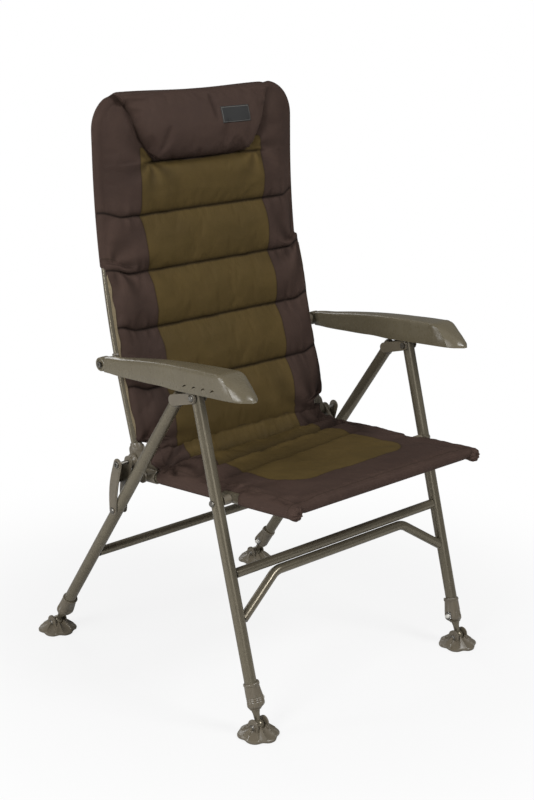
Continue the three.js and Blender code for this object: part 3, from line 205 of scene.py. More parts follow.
def metal(name, colour, rough):
    """Zinc plated or bright steel with turning marks and faint stains."""
    t = Tree(name)
    at = t.coordinates("Object")
    marks = t.noise(t.scaled(at, (40.0, 900.0, 900.0)), 1.0)
    stain = t.noise(at, 120.0, 5.0)
    tone = t.mix(t.range(stain, 0.4, 0.75, 0.0, 0.5), colour, scaled_colour(colour, 0.55))
    roughness = t.range(marks, 0.3, 0.7, rough - 0.08, rough + 0.14)
    return t.shader(tone, roughness, t.bump(marks, 0.2, 0.0001), Metallic=1.0)


PAINT = painted("tube_paint", rgb(112, 105, 89), rgb(106, 99, 84), 0.5, 0.25)
NYLON = moulded("moulded_nylon", rgb(102, 94, 80), rgb(93, 86, 73), 0.33)
ARM_NYLON = moulded("armrest_nylon", rgb(98, 91, 74), rgb(91, 84, 68), 0.28)
STEEL = metal("zinc_steel", (0.2, 0.19, 0.17, 1.0), 0.38)
BRIGHT = metal("bright_coil", (0.72, 0.71, 0.69, 1.0), 0.2)
BUTTON = moulded("button_grey", rgb(206, 204, 197), rgb(190, 188, 180), 0.4)


def crisp(obj, degrees, bevel):
    """Shades an object smooth but for its sharp edges, with a small bevel on these."""
    mesh = obj.data
    limit = math.cos(math.radians(degrees))
    bm = bmesh.new()
    bm.from_mesh(mesh)
    flags = [len(e.link_faces) == 2 and e.link_faces[0].normal.dot(e.link_faces[1].normal) < limit
             for e in bm.edges]
    bm.free()
    mesh.polygons.foreach_set("use_smooth", [True] * len(mesh.polygons))
    attribute = mesh.attributes.get("sharp_edge") or mesh.attributes.new("sharp_edge", "BOOLEAN", "EDGE")
    attribute.data.foreach_set("value", flags)
    if bevel > 0.0:
        edge = obj.modifiers.new("edge", "BEVEL")
        edge.width = bevel
        edge.segments = 2
        edge.limit_method = "ANGLE"
        edge.angle_limit = math.radians(degrees)
        edge.harden_normals = True
        edge.use_clamp_overlap = True
    mesh.update()


# Words in a node's name, its material and the bevel on its edges in metres
DRESS = [(("bolt", "screw", "pin_"), STEEL, 0.0003), (("button",), BUTTON, 0.0005),
         (("armrest",), ARM_NYLON, 0.0005),
         (("foot", "knuckle", "plug", "collar", "spacer", "arm_bracket", "link"), NYLON, 0.0006),
         (("tube", "inner_leg", "leg_bracket"), PAINT, 0.0)]
for node_name, node in NODES.items():
    for words, material, bevel in DRESS:
        if any(word in node_name for word in words):
            node.data.materials.clear()
            node.data.materials.append(material)
            crisp(node, 34.0, bevel)
            break

# The side lines of the chair

HINGE = np.array((231.0, 460.5))
BACK_ANGLE = math.radians(72.7)
BACK_STRAIGHT = 150.0
BACK_ARC_RADIUS = 1750.0
BACK_ARC = math.radians(15.3) * BACK_ARC_RADIUS
SEAT_PITCH = math.radians(4.85)
SEAT_PIVOT = (-58.0, 455.0)
SEAT_X = 264.0


def back_line(d):
    """Side plane points of the back tube's line at distances up it, and the way the back faces there."""
    d = np.asarray(d, dtype=float)
    arc = np.clip(d - BACK_STRAIGHT, 0.0, BACK_ARC)
    angle = BACK_ANGLE + arc / BACK_ARC_RADIUS
    start = HINGE + BACK_STRAIGHT * np.array((math.cos(BACK_ANGLE), math.sin(BACK_ANGLE)))
    centre = start + BACK_ARC_RADIUS * np.array((-math.sin(BACK_ANGLE), math.cos(BACK_ANGLE)))
    bend = np.stack((centre[0] + BACK_ARC_RADIUS * np.sin(angle),
                     centre[1] - BACK_ARC_RADIUS * np.cos(angle)), -1)
    rest = d - BACK_STRAIGHT - arc
    point = bend + rest[..., None] * np.stack((np.cos(angle), np.sin(angle)), -1)
    return point, np.stack((-np.sin(angle), np.cos(angle)), -1)


SEAT_CURL_FROM = 172.0
SEAT_CURL_RADIUS = 40.0


def seat_z(y):
    """Height of the seat tubes' line."""
    return SEAT_PIVOT[1] - (y - SEAT_PIVOT[0]) * math.tan(SEAT_PITCH)


def seat_line(s):
    """The seat tubes' line, and behind SEAT_CURL_FROM an arc that rises in front of the hinge."""
    s = np.asarray(s, dtype=float)
    y = np.minimum(s, SEAT_CURL_FROM)
    z = seat_z(y)
    turn = np.clip(s - SEAT_CURL_FROM, 0.0, None) / SEAT_CURL_RADIUS
    bent = s > SEAT_CURL_FROM
    y = np.where(bent, SEAT_CURL_FROM + SEAT_CURL_RADIUS * np.sin(turn), y)
    z = np.where(bent, seat_z(SEAT_CURL_FROM) + SEAT_CURL_RADIUS * (1.0 - np.cos(turn)), z)
    normal = np.stack((-np.sin(turn), np.cos(turn)), -1)
    return np.stack((y, z), -1), normal


def lay(line, x, s, n):
    """Points at x across, s along a side line and n in front of it, in metres in the frame."""
    point, normal = line(s)
    side = point + n[..., None] * normal
    return places(np.stack((x, side[..., 0], side[..., 1]), -1))


# Cloth


def grid_faces(rows, cols, first=0, flip=False):
    """Quads of a grid of points, as rows of four indices."""
    r, c = np.meshgrid(np.arange(rows - 1), np.arange(cols - 1), indexing="ij")
    a = (first + r * cols + c).ravel()
    quads = np.stack((a, a + 1, a + cols + 1, a + cols), -1)
    return quads[:, ::-1] if flip else quads


def mesh_of(name, points, faces, uv=None, fields=()):
    """A smooth shaded object, with a UV in metres and named numbers at its points."""
    mesh = bpy.data.meshes.new(name)
    mesh.from_pydata([tuple(p) for p in np.asarray(points).reshape(-1, 3)], [],
                     [tuple(int(i) for i in f) for f in faces])
    mesh.update()
    if uv is not None:
        uv = np.asarray(uv).reshape(-1, 2)
        layer = mesh.uv_layers.new(name="metres")
        loops = np.empty(len(mesh.loops), dtype=np.int32)
        mesh.loops.foreach_get("vertex_index", loops)
        layer.data.foreach_set("uv", uv[loops].astype(np.float32).ravel())
    for key, values in dict(fields).items():
        attribute = mesh.attributes.new(key, "FLOAT", "POINT")
        attribute.data.foreach_set("value", np.asarray(values, dtype=np.float32).ravel())
    mesh.polygons.foreach_set("use_smooth", [True] * len(mesh.polygons))
    obj = bpy.data.objects.new(name, mesh)
    SCENE.collection.objects.link(obj)
    return obj


def ring_faces(count, size):
    """Quads between closed rings of points, and a face over each end."""
    faces = [(r * size + k, r * size + (k + 1) % size, (r + 1) * size + (k + 1) % size, (r + 1) * size + k)
             for r in range(count - 1) for k in range(size)]
    return faces + [tuple(range(size))[::-1], tuple((count - 1) * size + k for k in range(size))]


def cleaned(obj, merge=0.0, sliver=0.0):
    """Welds points nearer than merge, drops slivers and turns every face outward."""
    bm = bmesh.new()
    bm.from_mesh(obj.data)
    if merge:
        bmesh.ops.remove_doubles(bm, verts=bm.verts, dist=merge)
    if sliver:
        bmesh.ops.dissolve_degenerate(bm, edges=bm.edges, dist=sliver)
    bmesh.ops.recalc_face_normals(bm, faces=bm.faces)
    bm.to_mesh(obj.data)
    bm.free()
    return obj


CLOTH_FRAMES = 20
CLOTH_STIFF = 15.0


def inflate(points, faces, pinned, pressure, growth, cap):
    """Lets a sheet swell as cloth with its pinned points held, and returns the new points."""
    obj = mesh_of("cloth_work", points, faces)
    group = obj.vertex_groups.new(name="pin")
    flat = np.asarray(pinned, dtype=float).ravel()
    for weight in np.unique(np.round(flat, 2)):
        if weight > 0.0:
            group.add([int(i) for i in np.nonzero(np.round(flat, 2) == weight)[0]], float(weight), "REPLACE")
    cloth = obj.modifiers.new("cloth", "CLOTH")
    s = cloth.settings
    s.quality = 6
    s.mass = 0.3
    s.tension_stiffness = s.compression_stiffness = CLOTH_STIFF
    s.shear_stiffness = CLOTH_STIFF * 0.4
    s.bending_stiffness = 0.5
    s.tension_damping = s.compression_damping = s.shear_damping = 8.0
    s.air_damping = 2.0
    s.effector_weights.gravity = 0.0
    s.vertex_group_mass = "pin"
    s.pin_stiffness = 1.0
    s.shrink_min = -growth
    s.use_pressure = True
    s.uniform_pressure_force = pressure
    cloth.collision_settings.use_collision = False
    cloth.collision_settings.use_self_collision = False
    cloth.point_cache.frame_start = 1
    cloth.point_cache.frame_end = CLOTH_FRAMES
    for number in range(1, CLOTH_FRAMES + 1):
        SCENE.frame_set(number)
    ready = obj.evaluated_get(bpy.context.evaluated_depsgraph_get())
    out = np.empty(len(ready.data.vertices) * 3)
    ready.data.vertices.foreach_get("co", out)
    SCENE.frame_set(1)
    start = np.asarray(points, dtype=float).reshape(-1, 3)
    move = out.reshape(-1, 3) - start
    size = np.linalg.norm(move, axis=1, keepdims=True)
    print("cloth: moved up to", round(float(size.max()) * 1000, 1), "mm")
    move *= np.minimum(1.0, cap / 1000.0 / np.maximum(size, 1e-9))
    bpy.data.objects.remove(obj, do_unlink=True)
    return start + move


def swollen(points, pinned, scale, seed, uneven, pressure, growth, cap):
    """A sheet after its cloth run from an uneven start.

    scale and seed shape the unevenness of uneven metres, growth is the share that the cloth grows by,
    and no point moves by more than cap millimetres.
    """
    rough = points + cloudy(points, scale, seed)[..., None] * uneven * (1.0 - pinned[..., None])
    return inflate(rough, grid_faces(*points.shape[:2]), pinned, pressure, growth, cap).reshape(points.shape)


def most(*fields):
    """The highest of several fields at each point."""
    return np.maximum.reduce([np.asarray(field, dtype=float) for field in fields])


def nearest(*fields):
    """The lowest of several fields at each point, and at most 99."""
    return np.minimum(np.minimum.reduce(fields), 99.0)


def fanned(x, s, near, far, ripple, centres):
    """Folds that fan out from centres: rows of x, s, height, reach, count and phase."""
    total = np.zeros_like(s)
    for cx, cs, height, reach, count, phase in centres:
        r = np.hypot(x - cx, s - cs)
        turn = np.arctan2(s - cs, x - cx)
        total += height * np.sin(count * turn + phase + r / ripple) * np.exp(-r / reach) * smooth(near, far, r)
    return total


def pushed(points, line, s, by):
    """Points moved by millimetres the way their side line faces."""
    normal = line(s)[1]
    return points + np.stack((np.zeros_like(s), by * normal[..., 0], by * normal[..., 1]), -1) / 1000.0


def spaced(rows, least):
    """Sorted places without those that lie too near the one before."""
    rows = sorted(set(round(r, 2) for r in rows))
    kept = [rows[0]]
    for r in rows[1:]:
        if r - kept[-1] > least:
            kept.append(r)
    return np.array(kept)


def channel(s, seams, power):
    """0 on a seam and 1 midway between two."""
    seams = np.asarray(seams, dtype=float)
    index = np.clip(np.searchsorted(seams, s) - 1, 0, len(seams) - 2)
    low, high = seams[index], seams[index + 1]
    t = np.clip(2.0 * (s - low) / (high - low) - 1.0, -1.0, 1.0)
    return 1.0 - np.abs(t) ** power


def panels(s, seams):
    """Height share of a stuffed panel: steep just over the seam below, rounder under the seam above."""
    seams = np.asarray(seams, dtype=float)
    index = np.clip(np.searchsorted(seams, s) - 1, 0, len(seams) - 2)
    up, down = np.clip(s - seams[index], 0.0, None), np.clip(seams[index + 1] - s, 0.0, None)
    along = np.clip(up / (seams[index + 1] - seams[index]), 0.0, 1.0)
    crown = 0.86 + 0.14 * np.sin(math.pi * along ** 0.8)
    return (1.0 - np.exp(-up / 4.0)) * (1.0 - np.exp(-down / 8.0)) * crown


def stations(seams, step):
    """Row places: on each seam, close beside it, and about a step apart between."""
    beside, inner = 1.5, 4.0
    out = []
    for low, high in zip(seams[:-1], seams[1:]):
        count = max(2, int(round((high - low - 2 * inner) / step)))
        out += [low, low + beside] + list(np.linspace(low + inner, high - inner, count + 1)) + [high - beside]
    return np.array(out + [seams[-1]])


def polyline_distance(x, y, line):
    """Distance of points to an open line of corners."""
    best = np.full(np.shape(x), 1e9)
    for (ax, ay), (bx, by) in zip(line[:-1], line[1:]):
        dx, dy = bx - ax, by - ay
        t = np.clip(((x - ax) * dx + (y - ay) * dy) / (dx * dx + dy * dy), 0.0, 1.0)
        best = np.minimum(best, np.hypot(x - ax - t * dx, y - ay - t * dy))
    return best


def inside(x, y, line):
    """True where points are inside a closed line of corners."""
    odd = np.zeros(np.shape(x), dtype=bool)
    for (ax, ay), (bx, by) in zip(line, line[1:] + line[:1]):
        crosses = (ay > y) != (by > y)
        with np.errstate(divide="ignore", invalid="ignore"):
            at = ax + (y - ay) * (bx - ax) / (by - ay if by != ay else 1e-9)
        odd ^= crosses & (x < at)
    return odd


def cloudy(points, scale, seed):
    """Smooth noise from -1 to 1 at points in metres."""
    flat = np.asarray(points, dtype=float).reshape(-1, 3)
    offset = Vector((seed * 3.7, seed * 1.3, seed * 5.1))
    values = [noise.fractal(Vector(p) * scale + offset, 1.0, 2.0, 3) for p in flat]
    return np.array(values).reshape(np.shape(points)[:-1])


# Back cover

# Places up the back are distances from the hinge along the tube's line
PILLOW_FROM, HOOP_TOP, COVER_TOP = 607.0, 738.4, 750.4
BACK_SEAMS = [3.0, 138.0, 263.5, 383.0, 501.0, PILLOW_FROM, COVER_TOP]
SLEEVE_FROM = 397.0     # above this the cover is a sleeve round the tubes, and below it a loose pad
TUNNEL = 12.2           # radius of the sleeve over a tube
COVER_HALF, LOWER_HALF = 276.3, 243.0
CORNER_X, CORNER_D, CORNER_R = 202.2, 676.4, 74.1
PILLOW_LINE = [(-232.0, 752.0), (-207.0, 725.0), (-192.0, 693.0), (-176.0, 655.0), (-150.0, 620.0),
               (-132.0, 606.5), (-14.0, 605.0), (119.0, 609.0), (141.0, 622.0), (156.0, 651.0),
               (170.0, 682.0), (186.0, 713.0), (194.0, 734.0), (196.0, 752.0)]


def cover_half(d):
    """Half width of the front sheet at a distance up the back."""
    d = np.asarray(d, dtype=float)
    # the lower end passes between the knuckles, so that the folded back clears them
    flare = COVER_HALF - (COVER_HALF - LOWER_HALF) * (1.0 - smooth(27.0, 38.0, d))
    flare -= 3.0 * (1.0 - smooth(40.0, 90.0, d))
    corner = CORNER_X + np.sqrt(np.clip(CORNER_R ** 2 - np.clip(d - CORNER_D, 0.0, None) ** 2, 0.0, None))
    return np.where(d > CORNER_D, corner, flare)


def cover_inset(x, d):
    """Distance inward from the cover's outline."""
    ax = np.abs(x)
    cx, cd = ax - CORNER_X, d - CORNER_D
    round_corner = CORNER_R - np.hypot(cx, cd)
    straight = np.minimum(cover_half(np.minimum(d, CORNER_D)) - ax, COVER_TOP - d)
    return np.where((cx > 0.0) & (cd > 0.0), round_corner, straight)


def columns(half, step):
    """Places across in millimetres: close ones round each edge and even steps between."""
    bend = [TUNNEL * (1.0 - math.cos(math.radians(a))) for a in (0, 20, 40, 60, 80, 100, 125, 150, 180)]
    ramp = [29.0, 34.0]
    inner = half - 39.0
    count = int(round(2 * inner / step))
    middle = list(np.linspace(-inner, inner, count + 1))
    left = [-(half - q) for q in bend + ramp]
    return np.array(left + middle + [-v for v in reversed(left)])


EDGE = 40.0     # the columns within this distance of the edge keep their inset


def spread(x, half, widest):
    """Columns that keep their inset at the edges and share out what is left between."""
    at_edge = np.sign(x) * (half - (widest - np.abs(x)))
    return np.where(np.abs(x) > widest - EDGE, at_edge, x * (half - EDGE) / (widest - EDGE))


top_rows = [734.5] + [COVER_TOP - TUNNEL + TUNNEL * math.sin(math.radians(a))
                      for a in (0, 20, 38, 55, 70, 82, 90)]
ROWS = spaced(list(stations(BACK_SEAMS[:-1], 5.0)[:-1]) + list(np.linspace(PILLOW_FROM, 730.0, 25)) + top_rows
              + [SLEEVE_FROM - 0.4, SLEEVE_FROM + 0.4], 0.75)
D, XC = np.meshgrid(ROWS, columns(COVER_HALF, 5.0), indexing="ij")
X = spread(XC, cover_half(D), COVER_HALF)
INSET = cover_inset(X, D)


def edge_level(d):
    """Height of the pad's free edge over the tubes' plane."""
    return 19.0 - 6.0 * smooth(335.0, SLEEVE_FROM, d) - 4.0 * (1.0 - smooth(34.0, 64.0, d))


def edge_rise(inset, d):
    """Share of the pad's height that is reached at an inset from its free edge."""
    width = 20.0 + 36.0 * smooth(300.0, SLEEVE_FROM, d)
    return 1.0 - (1.0 - np.clip(inset / width, 0.0, 1.0)) ** 2.4


# The sides are drawn up the back, and the upper edge sags between the corners and beside the pillow
LIFT = 13.0 * smooth(225.0, 272.0, np.abs(X)) * smooth(30.0, 90.0, D) * (1.0 - smooth(560.0, 610.0, D))
SAG = -2.0 * np.cos(np.clip(X / 200.0, -1.0, 1.0) * math.pi) * smooth(640.0, 740.0, D)
SAG -= 3.2 * (np.exp(-((X + 228.0) / 8.0) ** 2) + np.exp(-((X - 199.0) / 7.0) ** 2)) * smooth(690.0, 748.0, D)

# The last seam ends behind the pillow, so that the sides run on past it
CHANNEL = panels(D, BACK_SEAMS[:-1] + [COVER_TOP + 60.0])
BESIDE = smooth(150.0, 186.0, np.abs(X)) * (D > 501.0)
CHANNEL = CHANNEL * (1.0 - BESIDE) + panels(D, BACK_SEAMS[:-2] + [COVER_TOP + 60.0]) * BESIDE
TUNNELLED = (D > SLEEVE_FROM).astype(float)
pillow_gap = polyline_distance(X, D, PILLOW_LINE)
in_pillow = inside(X, D, PILLOW_LINE)

# Height of the padding over the tubes' plane, before the cloth swells
seam_height, crown_height = 25.5, 35.0
near_edge = np.exp(-INSET / 30.0)
PAD = seam_height + (crown_height - seam_height) * CHANNEL * (1.0 - 0.3 * near_edge) + 1.5 * near_edge
upper = D > PILLOW_FROM
PAD = np.where(upper, 32.5, PAD)
PAD = np.where(in_pillow, 20.0, PAD - 11.0 * np.exp(-(pillow_gap / 9.0) ** 2) * (D > 600.0))
side_fall = smooth(0.0, 62.0, INSET - TUNNEL)
edge_height = np.sqrt(np.clip(TUNNEL ** 2 - np.clip(TUNNEL - INSET, 0.0, None) ** 2, 0.0, None))
front_tunnel = edge_height + (PAD - TUNNEL) * np.clip(side_fall, 0.0, 1.0) ** 0.75 * (INSET > TUNNEL)
EDGE_LEVEL = edge_level(D)
pad_edge = EDGE_LEVEL + (PAD + 4.5 * near_edge - EDGE_LEVEL) * edge_rise(INSET, D)
# the lower corners stay low where they pass the knuckles
clear = 6.0 + 0.9 * (D - 20.0) + 60.0 * (1.0 - smooth(236.0, 246.0, np.abs(X)))
pad_edge = np.minimum(pad_edge, np.maximum(clear, EDGE_LEVEL + 0.8))
FRONT = np.where(TUNNELLED > 0.5, front_tunnel, pad_edge)
rear_tunnel = np.where(INSET < 2 * TUNNEL,
                       -np.sqrt(np.clip(TUNNEL ** 2 - (INSET - TUNNEL) ** 2, 0.0, None)),
                       9.5 * smooth(2 * TUNNEL, 2 * TUNNEL + 12.0, INSET))
rear_pad = EDGE_LEVEL - 1.5 - (EDGE_LEVEL - 10.0) * smooth(24.0, 80.0, INSET)
REAR = np.where(TUNNELLED > 0.5, rear_tunnel, rear_pad)
rear_channels = 2.0 * channel(D, BACK_SEAMS[:-1] + [COVER_TOP], 3.0) * smooth(36.0, 90.0, INSET)
REAR = np.where(INSET > 2 * TUNNEL + 12.0, REAR - rear_channels, REAR)

front_points = lay(back_line, X, D + LIFT + SAG, FRONT)
rear_points = lay(back_line, X, D + LIFT * 0.3 + SAG, REAR)
SEWN = [(seam, 1.0 - BESIDE * (seam > 600.0)) for seam in BACK_SEAMS[:-1]]
PINNED = most(*((np.abs(D - seam) < 0.6) * share for seam, share in SEWN),
              (INSET < 15.0) & (D > SLEEVE_FROM), INSET < 1.0, D < 4.0, D > 742.0,
              in_pillow & (pillow_gap > 3.0), (pillow_gap < 3.5) & upper)
front_points = swollen(front_points, PINNED, scale=26.0, seed=3.0, uneven=0.0012, pressure=4.0, growth=0.005,
                       cap=6.0)

# Panel edge between the olive middle and the brown sides, mm inside the olive, and the sewing lines
wobble = 3.0 * np.sin(D / 61.0) + 2.0 * np.sin(D / 23.0 + 1.3)
left_edge = -np.interp(D, [17, 223, 265, 402, 460, 505, 630], [183, 172, 173, 177, 181, 186, 180])
right_edge = np.interp(D, [17, 83, 268, 332, 406, 512, 619], [164, 172, 172, 171, 165, 162, 160])
OLIVE = np.minimum(X - left_edge, right_edge - X) + 0.25 * wobble
OLIVE = np.minimum(OLIVE, 640.0 - D)
OLIVE = np.where(in_pillow, -np.abs(OLIVE), OLIVE)
SEAM = np.minimum(nearest(*(np.abs(D - seam) + 60.0 * (1.0 - share) for seam, share in SEWN)),
                  np.where((D > SLEEVE_FROM) & (INSET < 27.0), np.abs(D - 408.0) + 0.8, 99.0))

# The sewing gathers the cloth along each seam, more at the sides than in the middle
gather = np.zeros_like(D)
for number, (seam, share) in enumerate(SEWN):
    away = np.abs(D - seam)
    phase = number * 1.9 + 1.1 * np.sin(X / 37.0 + number)
    wave = np.sin(2 * math.pi * X / 25.0 + phase) + 0.6 * np.sin(2 * math.pi * X / 15.5 + 2.3 * phase)
    gather += wave * np.exp(-away / 13.0) * (1.0 - np.exp(-away / 2.2)) * share
strength = 0.16 + 1.25 * smooth(155.0, 205.0, np.abs(X))
gather *= strength * smooth(20.0, 34.0, INSET) * (1.0 - in_pillow)
# Soft folds that fan out from the lower corners, and under the pillow's corners
gather += fanned(X, D, near=4.0, far=22.0, ripple=31.0, centres=(
    (-238.0, 14.0, 2.6, 78.0, 7.0, 0.4), (238.0, 14.0, 2.6, 78.0, 7.0, 1.3),
    (-258.0, 392.0, 2.6, 60.0, 6.0, 2.1), (258.0, 392.0, 2.6, 60.0, 6.0, 0.2),
    (-150.0, 612.0, 2.6, 40.0, 6.0, 0.9), (141.0, 615.0, 2.6, 40.0, 6.0, 2.7))) * (
        1.0 - in_pillow) * smooth(4.0, 16.0, INSET)
# Painted shade: the cover's colour is darkened in the pillow's gap, in the troughs of the folds, along the lower
# edge, at the lower corners and beside each seam
BACK_PAINTED_SHADE = most(0.9 * np.exp(-pillow_gap / 6.0) * (D > 600.0), 0.9 * smooth(2.0, -3.0, gather),
              0.8 * np.exp(-np.clip(D - 3.0, 0.0, None) / 16.0),
              0.5 * np.exp(-np.hypot(np.abs(X) - 262.0, D - 10.0) / 60.0))
for seam, share in SEWN:
    below, above = np.clip(seam - D, 0.0, None), np.clip(D - seam, 0.0, None)
    BACK_PAINTED_SHADE = most(BACK_PAINTED_SHADE, share * np.where(D < seam, np.exp(-below / 3.0), 0.85 * np.exp(-above / 9.0)))
front_points = pushed(front_points, back_line, D, gather)


def closed_cover(name, front, rear, uv_front, fields):
    """One closed body of a front and a rear sheet that share their outline; fields as (front, rear)."""
    rows, cols = front.shape[:2]
    points = np.concatenate((front.reshape(-1, 3), rear.reshape(-1, 3)))
    first = rows * cols
    faces = list(grid_faces(rows, cols, 0, True)) + list(grid_faces(rows, cols, first, False))
    for r in range(rows - 1):
        a, b = r * cols, (r + 1) * cols
        faces.append((a, a + first, b + first, b)[::-1])
        a, b = a + cols - 1, b + cols - 1
        faces.append((a, b, b + first, a + first)[::-1])
    for c in range(cols - 1):
        faces.append((c, c + 1, c + 1 + first, c + first)[::-1])
        a = (rows - 1) * cols + c
        faces.append((a, a + first, a + 1 + first, a + 1)[::-1])
    uv = np.concatenate((uv_front.reshape(-1, 2), uv_front.reshape(-1, 2) + np.array((2.0, 0.0))))
    both = {key: np.concatenate([np.broadcast_to(value, (rows, cols)).ravel() for value in pair])
            for key, pair in fields.items()}
    return cleaned(mesh_of(name, points, faces, uv, both), 0.00015)


def soft(obj, material, fine=True):
    """Gives a soft piece its material and, where fine, one level of subdivision."""
    obj.data.materials.append(material)
    if fine:
        more = obj.modifiers.new("fine", "SUBSURF")
        more.levels = more.render_levels = 1


AWAY = -50.0    # the olive field where the cloth is brown
back_cover = closed_cover("back_cover", front_points, rear_points, np.stack((X, D), -1) / 1000.0,
                          {"olive": (OLIVE, AWAY), "seam": (SEAM, SEAM), "hollow": (BACK_PAINTED_SHADE, 0.0)})

# Seat cover

# Places along the seat are Y of the tubes' line, and behind SEAT_CURL_FROM lengths along the rising arc
SEAT_FROM = -236.0
SEAT_TO = SEAT_CURL_FROM + SEAT_CURL_RADIUS * math.radians(108.0)
SEAT_TUNNEL = 13.0
SEAT_HALF = SEAT_X + SEAT_TUNNEL
TUNNEL_END = 164.0
SEAT_FOLDS = [SEAT_FROM, 24.0, 98.0, 175.0, SEAT_TO]


def seat_half(s):
    """Half width of the seat's cloth at a distance along the seat."""
    s = np.asarray(s, dtype=float)
    # the tunnel's outer side is cut away round the spacer
    notch = 15.5 * smooth(27.0, 19.0, np.abs(s - SEAT_PIVOT[0]))
    narrow = (14.0 + 16.0 * smooth(196.0, 236.0, s)) * smooth(TUNNEL_END - 1.0, TUNNEL_END + 1.5, s)
    return SEAT_HALF - notch - narrow


hem = [SEAT_FROM + 6.0 * (1.0 - math.cos(math.radians(a))) for a in (0, 25, 50, 75, 90)]
body_rows = list(np.arange(SEAT_FROM + 9.0, 122.0, 5.0)) + [124.5, 128.0, 131.5]
tail_rows = list(np.arange(135.0, 168.0, 4.5)) + [169.5, 172.0, 174.5]
curl_rows = [*np.arange(178.0, 204.0, 3.6), 206.0, *np.arange(209.0, SEAT_TO - 2.0, 3.6), SEAT_TO]
notch_rows = [SEAT_PIVOT[0] + a for a in (-25.0, -22.0, 22.0, 25.0)]
S, SXC = np.meshgrid(spaced(hem + body_rows + tail_rows + curl_rows + notch_rows, 0.6),
                     columns(SEAT_HALF, 5.5), indexing="ij")
SHALF = seat_half(S)
SX = spread(SXC, SHALF, SEAT_HALF)
SINSET = SHALF - np.abs(SX)
tube_here = (S < TUNNEL_END).astype(float)
S_FOLD = S - 0.1 * SX * (1.0 - smooth(120.0, 165.0, S)) * smooth(-150.0, -20.0, S)
folds = channel(S_FOLD, SEAT_FOLDS[1:], 2.4) * (S_FOLD > SEAT_FOLDS[1])
curled = smooth(140.0, 185.0, S)
SPAD = 15.5 + 3.0 * smooth(36.0, 120.0, SINSET) * (1.0 - smooth(60.0, 128.0, S))
SPAD = SPAD * (1.0 - curled) + (3.0 + 12.0 * folds) * curled
SPAD = SPAD + (13.0 * folds * smooth(60.0, 98.0, S_FOLD) + 4.5 * folds) * (1.0 - curled)
for fold, depth in zip(SEAT_FOLDS[1:4], (3.0, 8.0, 7.0)):
    SPAD = SPAD - depth * np.exp(-((S_FOLD - fold) / 6.5) ** 2) * smooth(30.0, 90.0, SINSET)
front_roll = np.clip((S - SEAT_FROM) / 9.0, 0.0, 1.0)
nose = np.sqrt(np.clip(1.0 - (1.0 - front_roll) ** 2, 0.0, 1.0))
around = np.abs(SX) - SEAT_X
tunnel_top = np.sqrt(np.clip(SEAT_TUNNEL ** 2 - np.clip(around, 0.0, None) ** 2, 0.0, None))
puff = 3.0 * smooth(0.0, 9.0, SINSET) * (1.0 - smooth(20.0, 60.0, SINSET))
STOP = np.where(tube_here > 0.5, tunnel_top + (SPAD - SEAT_TUNNEL) * smooth(SEAT_TUNNEL, 70.0, SINSET) + puff,
                2.0 + (SPAD - 2.0) * np.sqrt(np.clip(1 - (1 - np.clip(SINSET / 22.0, 0, 1)) ** 2, 0, 1)))
under_tube = -np.sqrt(np.clip(SEAT_TUNNEL ** 2 - around ** 2, 0.0, None))
under_body = np.where(SINSET < 2 * SEAT_TUNNEL, under_tube, -5.5 * smooth(26, 40, SINSET))
under_tail = -4.0 * np.clip(SINSET / 10.0, 0.0, 1.0) * (1.0 - 0.3 * curled)
SUNDER = np.where(tube_here > 0.5, under_body, under_tail)
SUNDER = np.where((SHALF < SEAT_HALF - 3.0) & (tube_here > 0.5), np.maximum(SUNDER, -SEAT_TUNNEL), SUNDER)
# behind the tunnels the cloth lies over the knuckles' sockets
over_socket = smooth(226.0, 243.0, np.abs(SX)) * smooth(TUNNEL_END - 3.0, TUNNEL_END + 1.5, S)
over_socket = over_socket * (1.0 - 0.75 * smooth(196.0, 214.0, S))
STOP = STOP + (19.5 - STOP) * over_socket
SUNDER = SUNDER + (16.6 - SUNDER) * over_socket
middle = (STOP + SUNDER) / 2.0
inner_zone = smooth(12.0, 40.0, SINSET)
STOP = middle + (STOP - middle) * (1.0 - inner_zone * (1.0 - nose))
SUNDER = middle + (SUNDER - middle) * (1.0 - inner_zone * (1.0 - nose))
seat_top = lay(seat_line, SX, S, STOP)
seat_under = lay(seat_line, SX, S, SUNDER)
SPIN = most(*(np.exp(-((S_FOLD - fold) / 3.0) ** 2) for fold in SEAT_FOLDS[2:]),
            (SINSET < 14.0) & (S < TUNNEL_END + 2), SINSET < 1.0, S < SEAT_FROM + 10.0)
seat_top = swollen(seat_top, SPIN, scale=22.0, seed=8.0, uneven=0.0015, pressure=2.0, growth=0.018, cap=5.0)

# The olive middle runs forward and ends in a rounded corner on each side
corner_r = 66.0
half_panel = np.interp(S, [-137.0, 0.0, 90.0, 140.0, 240.0], [184.0, 178.0, 171.0, 160.0, 166.0])
fx, fs = np.abs(SX) - (half_panel - corner_r), (-136.0 + corner_r) - S
SOLIVE = np.where((fx > 0) & (fs > 0), corner_r - np.hypot(fx, fs),
                  np.minimum(half_panel - np.abs(SX), S + 136.0))
SSEAM = nearest(*(np.abs(S_FOLD - fold) + 0.6 for fold in SEAT_FOLDS[3:]),
                np.abs(S - (SEAT_FROM + 15.0)) + 0.9,
                np.where(S < TUNNEL_END, np.abs(SINSET - 2.0 * SEAT_TUNNEL) + 0.9, 99.0))
fans = fanned(SX, S, near=5.0, far=24.0, ripple=27.0, centres=(
    (-242.0, 158.0, 5.5, 74.0, 8.0, 0.7), (242.0, 158.0, 5.5, 74.0, 8.0, 2.0),
    (-262.0, -226.0, 2.2, 34.0, 6.0, 0.3), (262.0, -226.0, 2.2, 34.0, 6.0, 1.6),
    (-262.0, -58.0, 2.2, 34.0, 6.0, 0.1), (262.0, -58.0, 2.2, 34.0, 6.0, 1.0)))
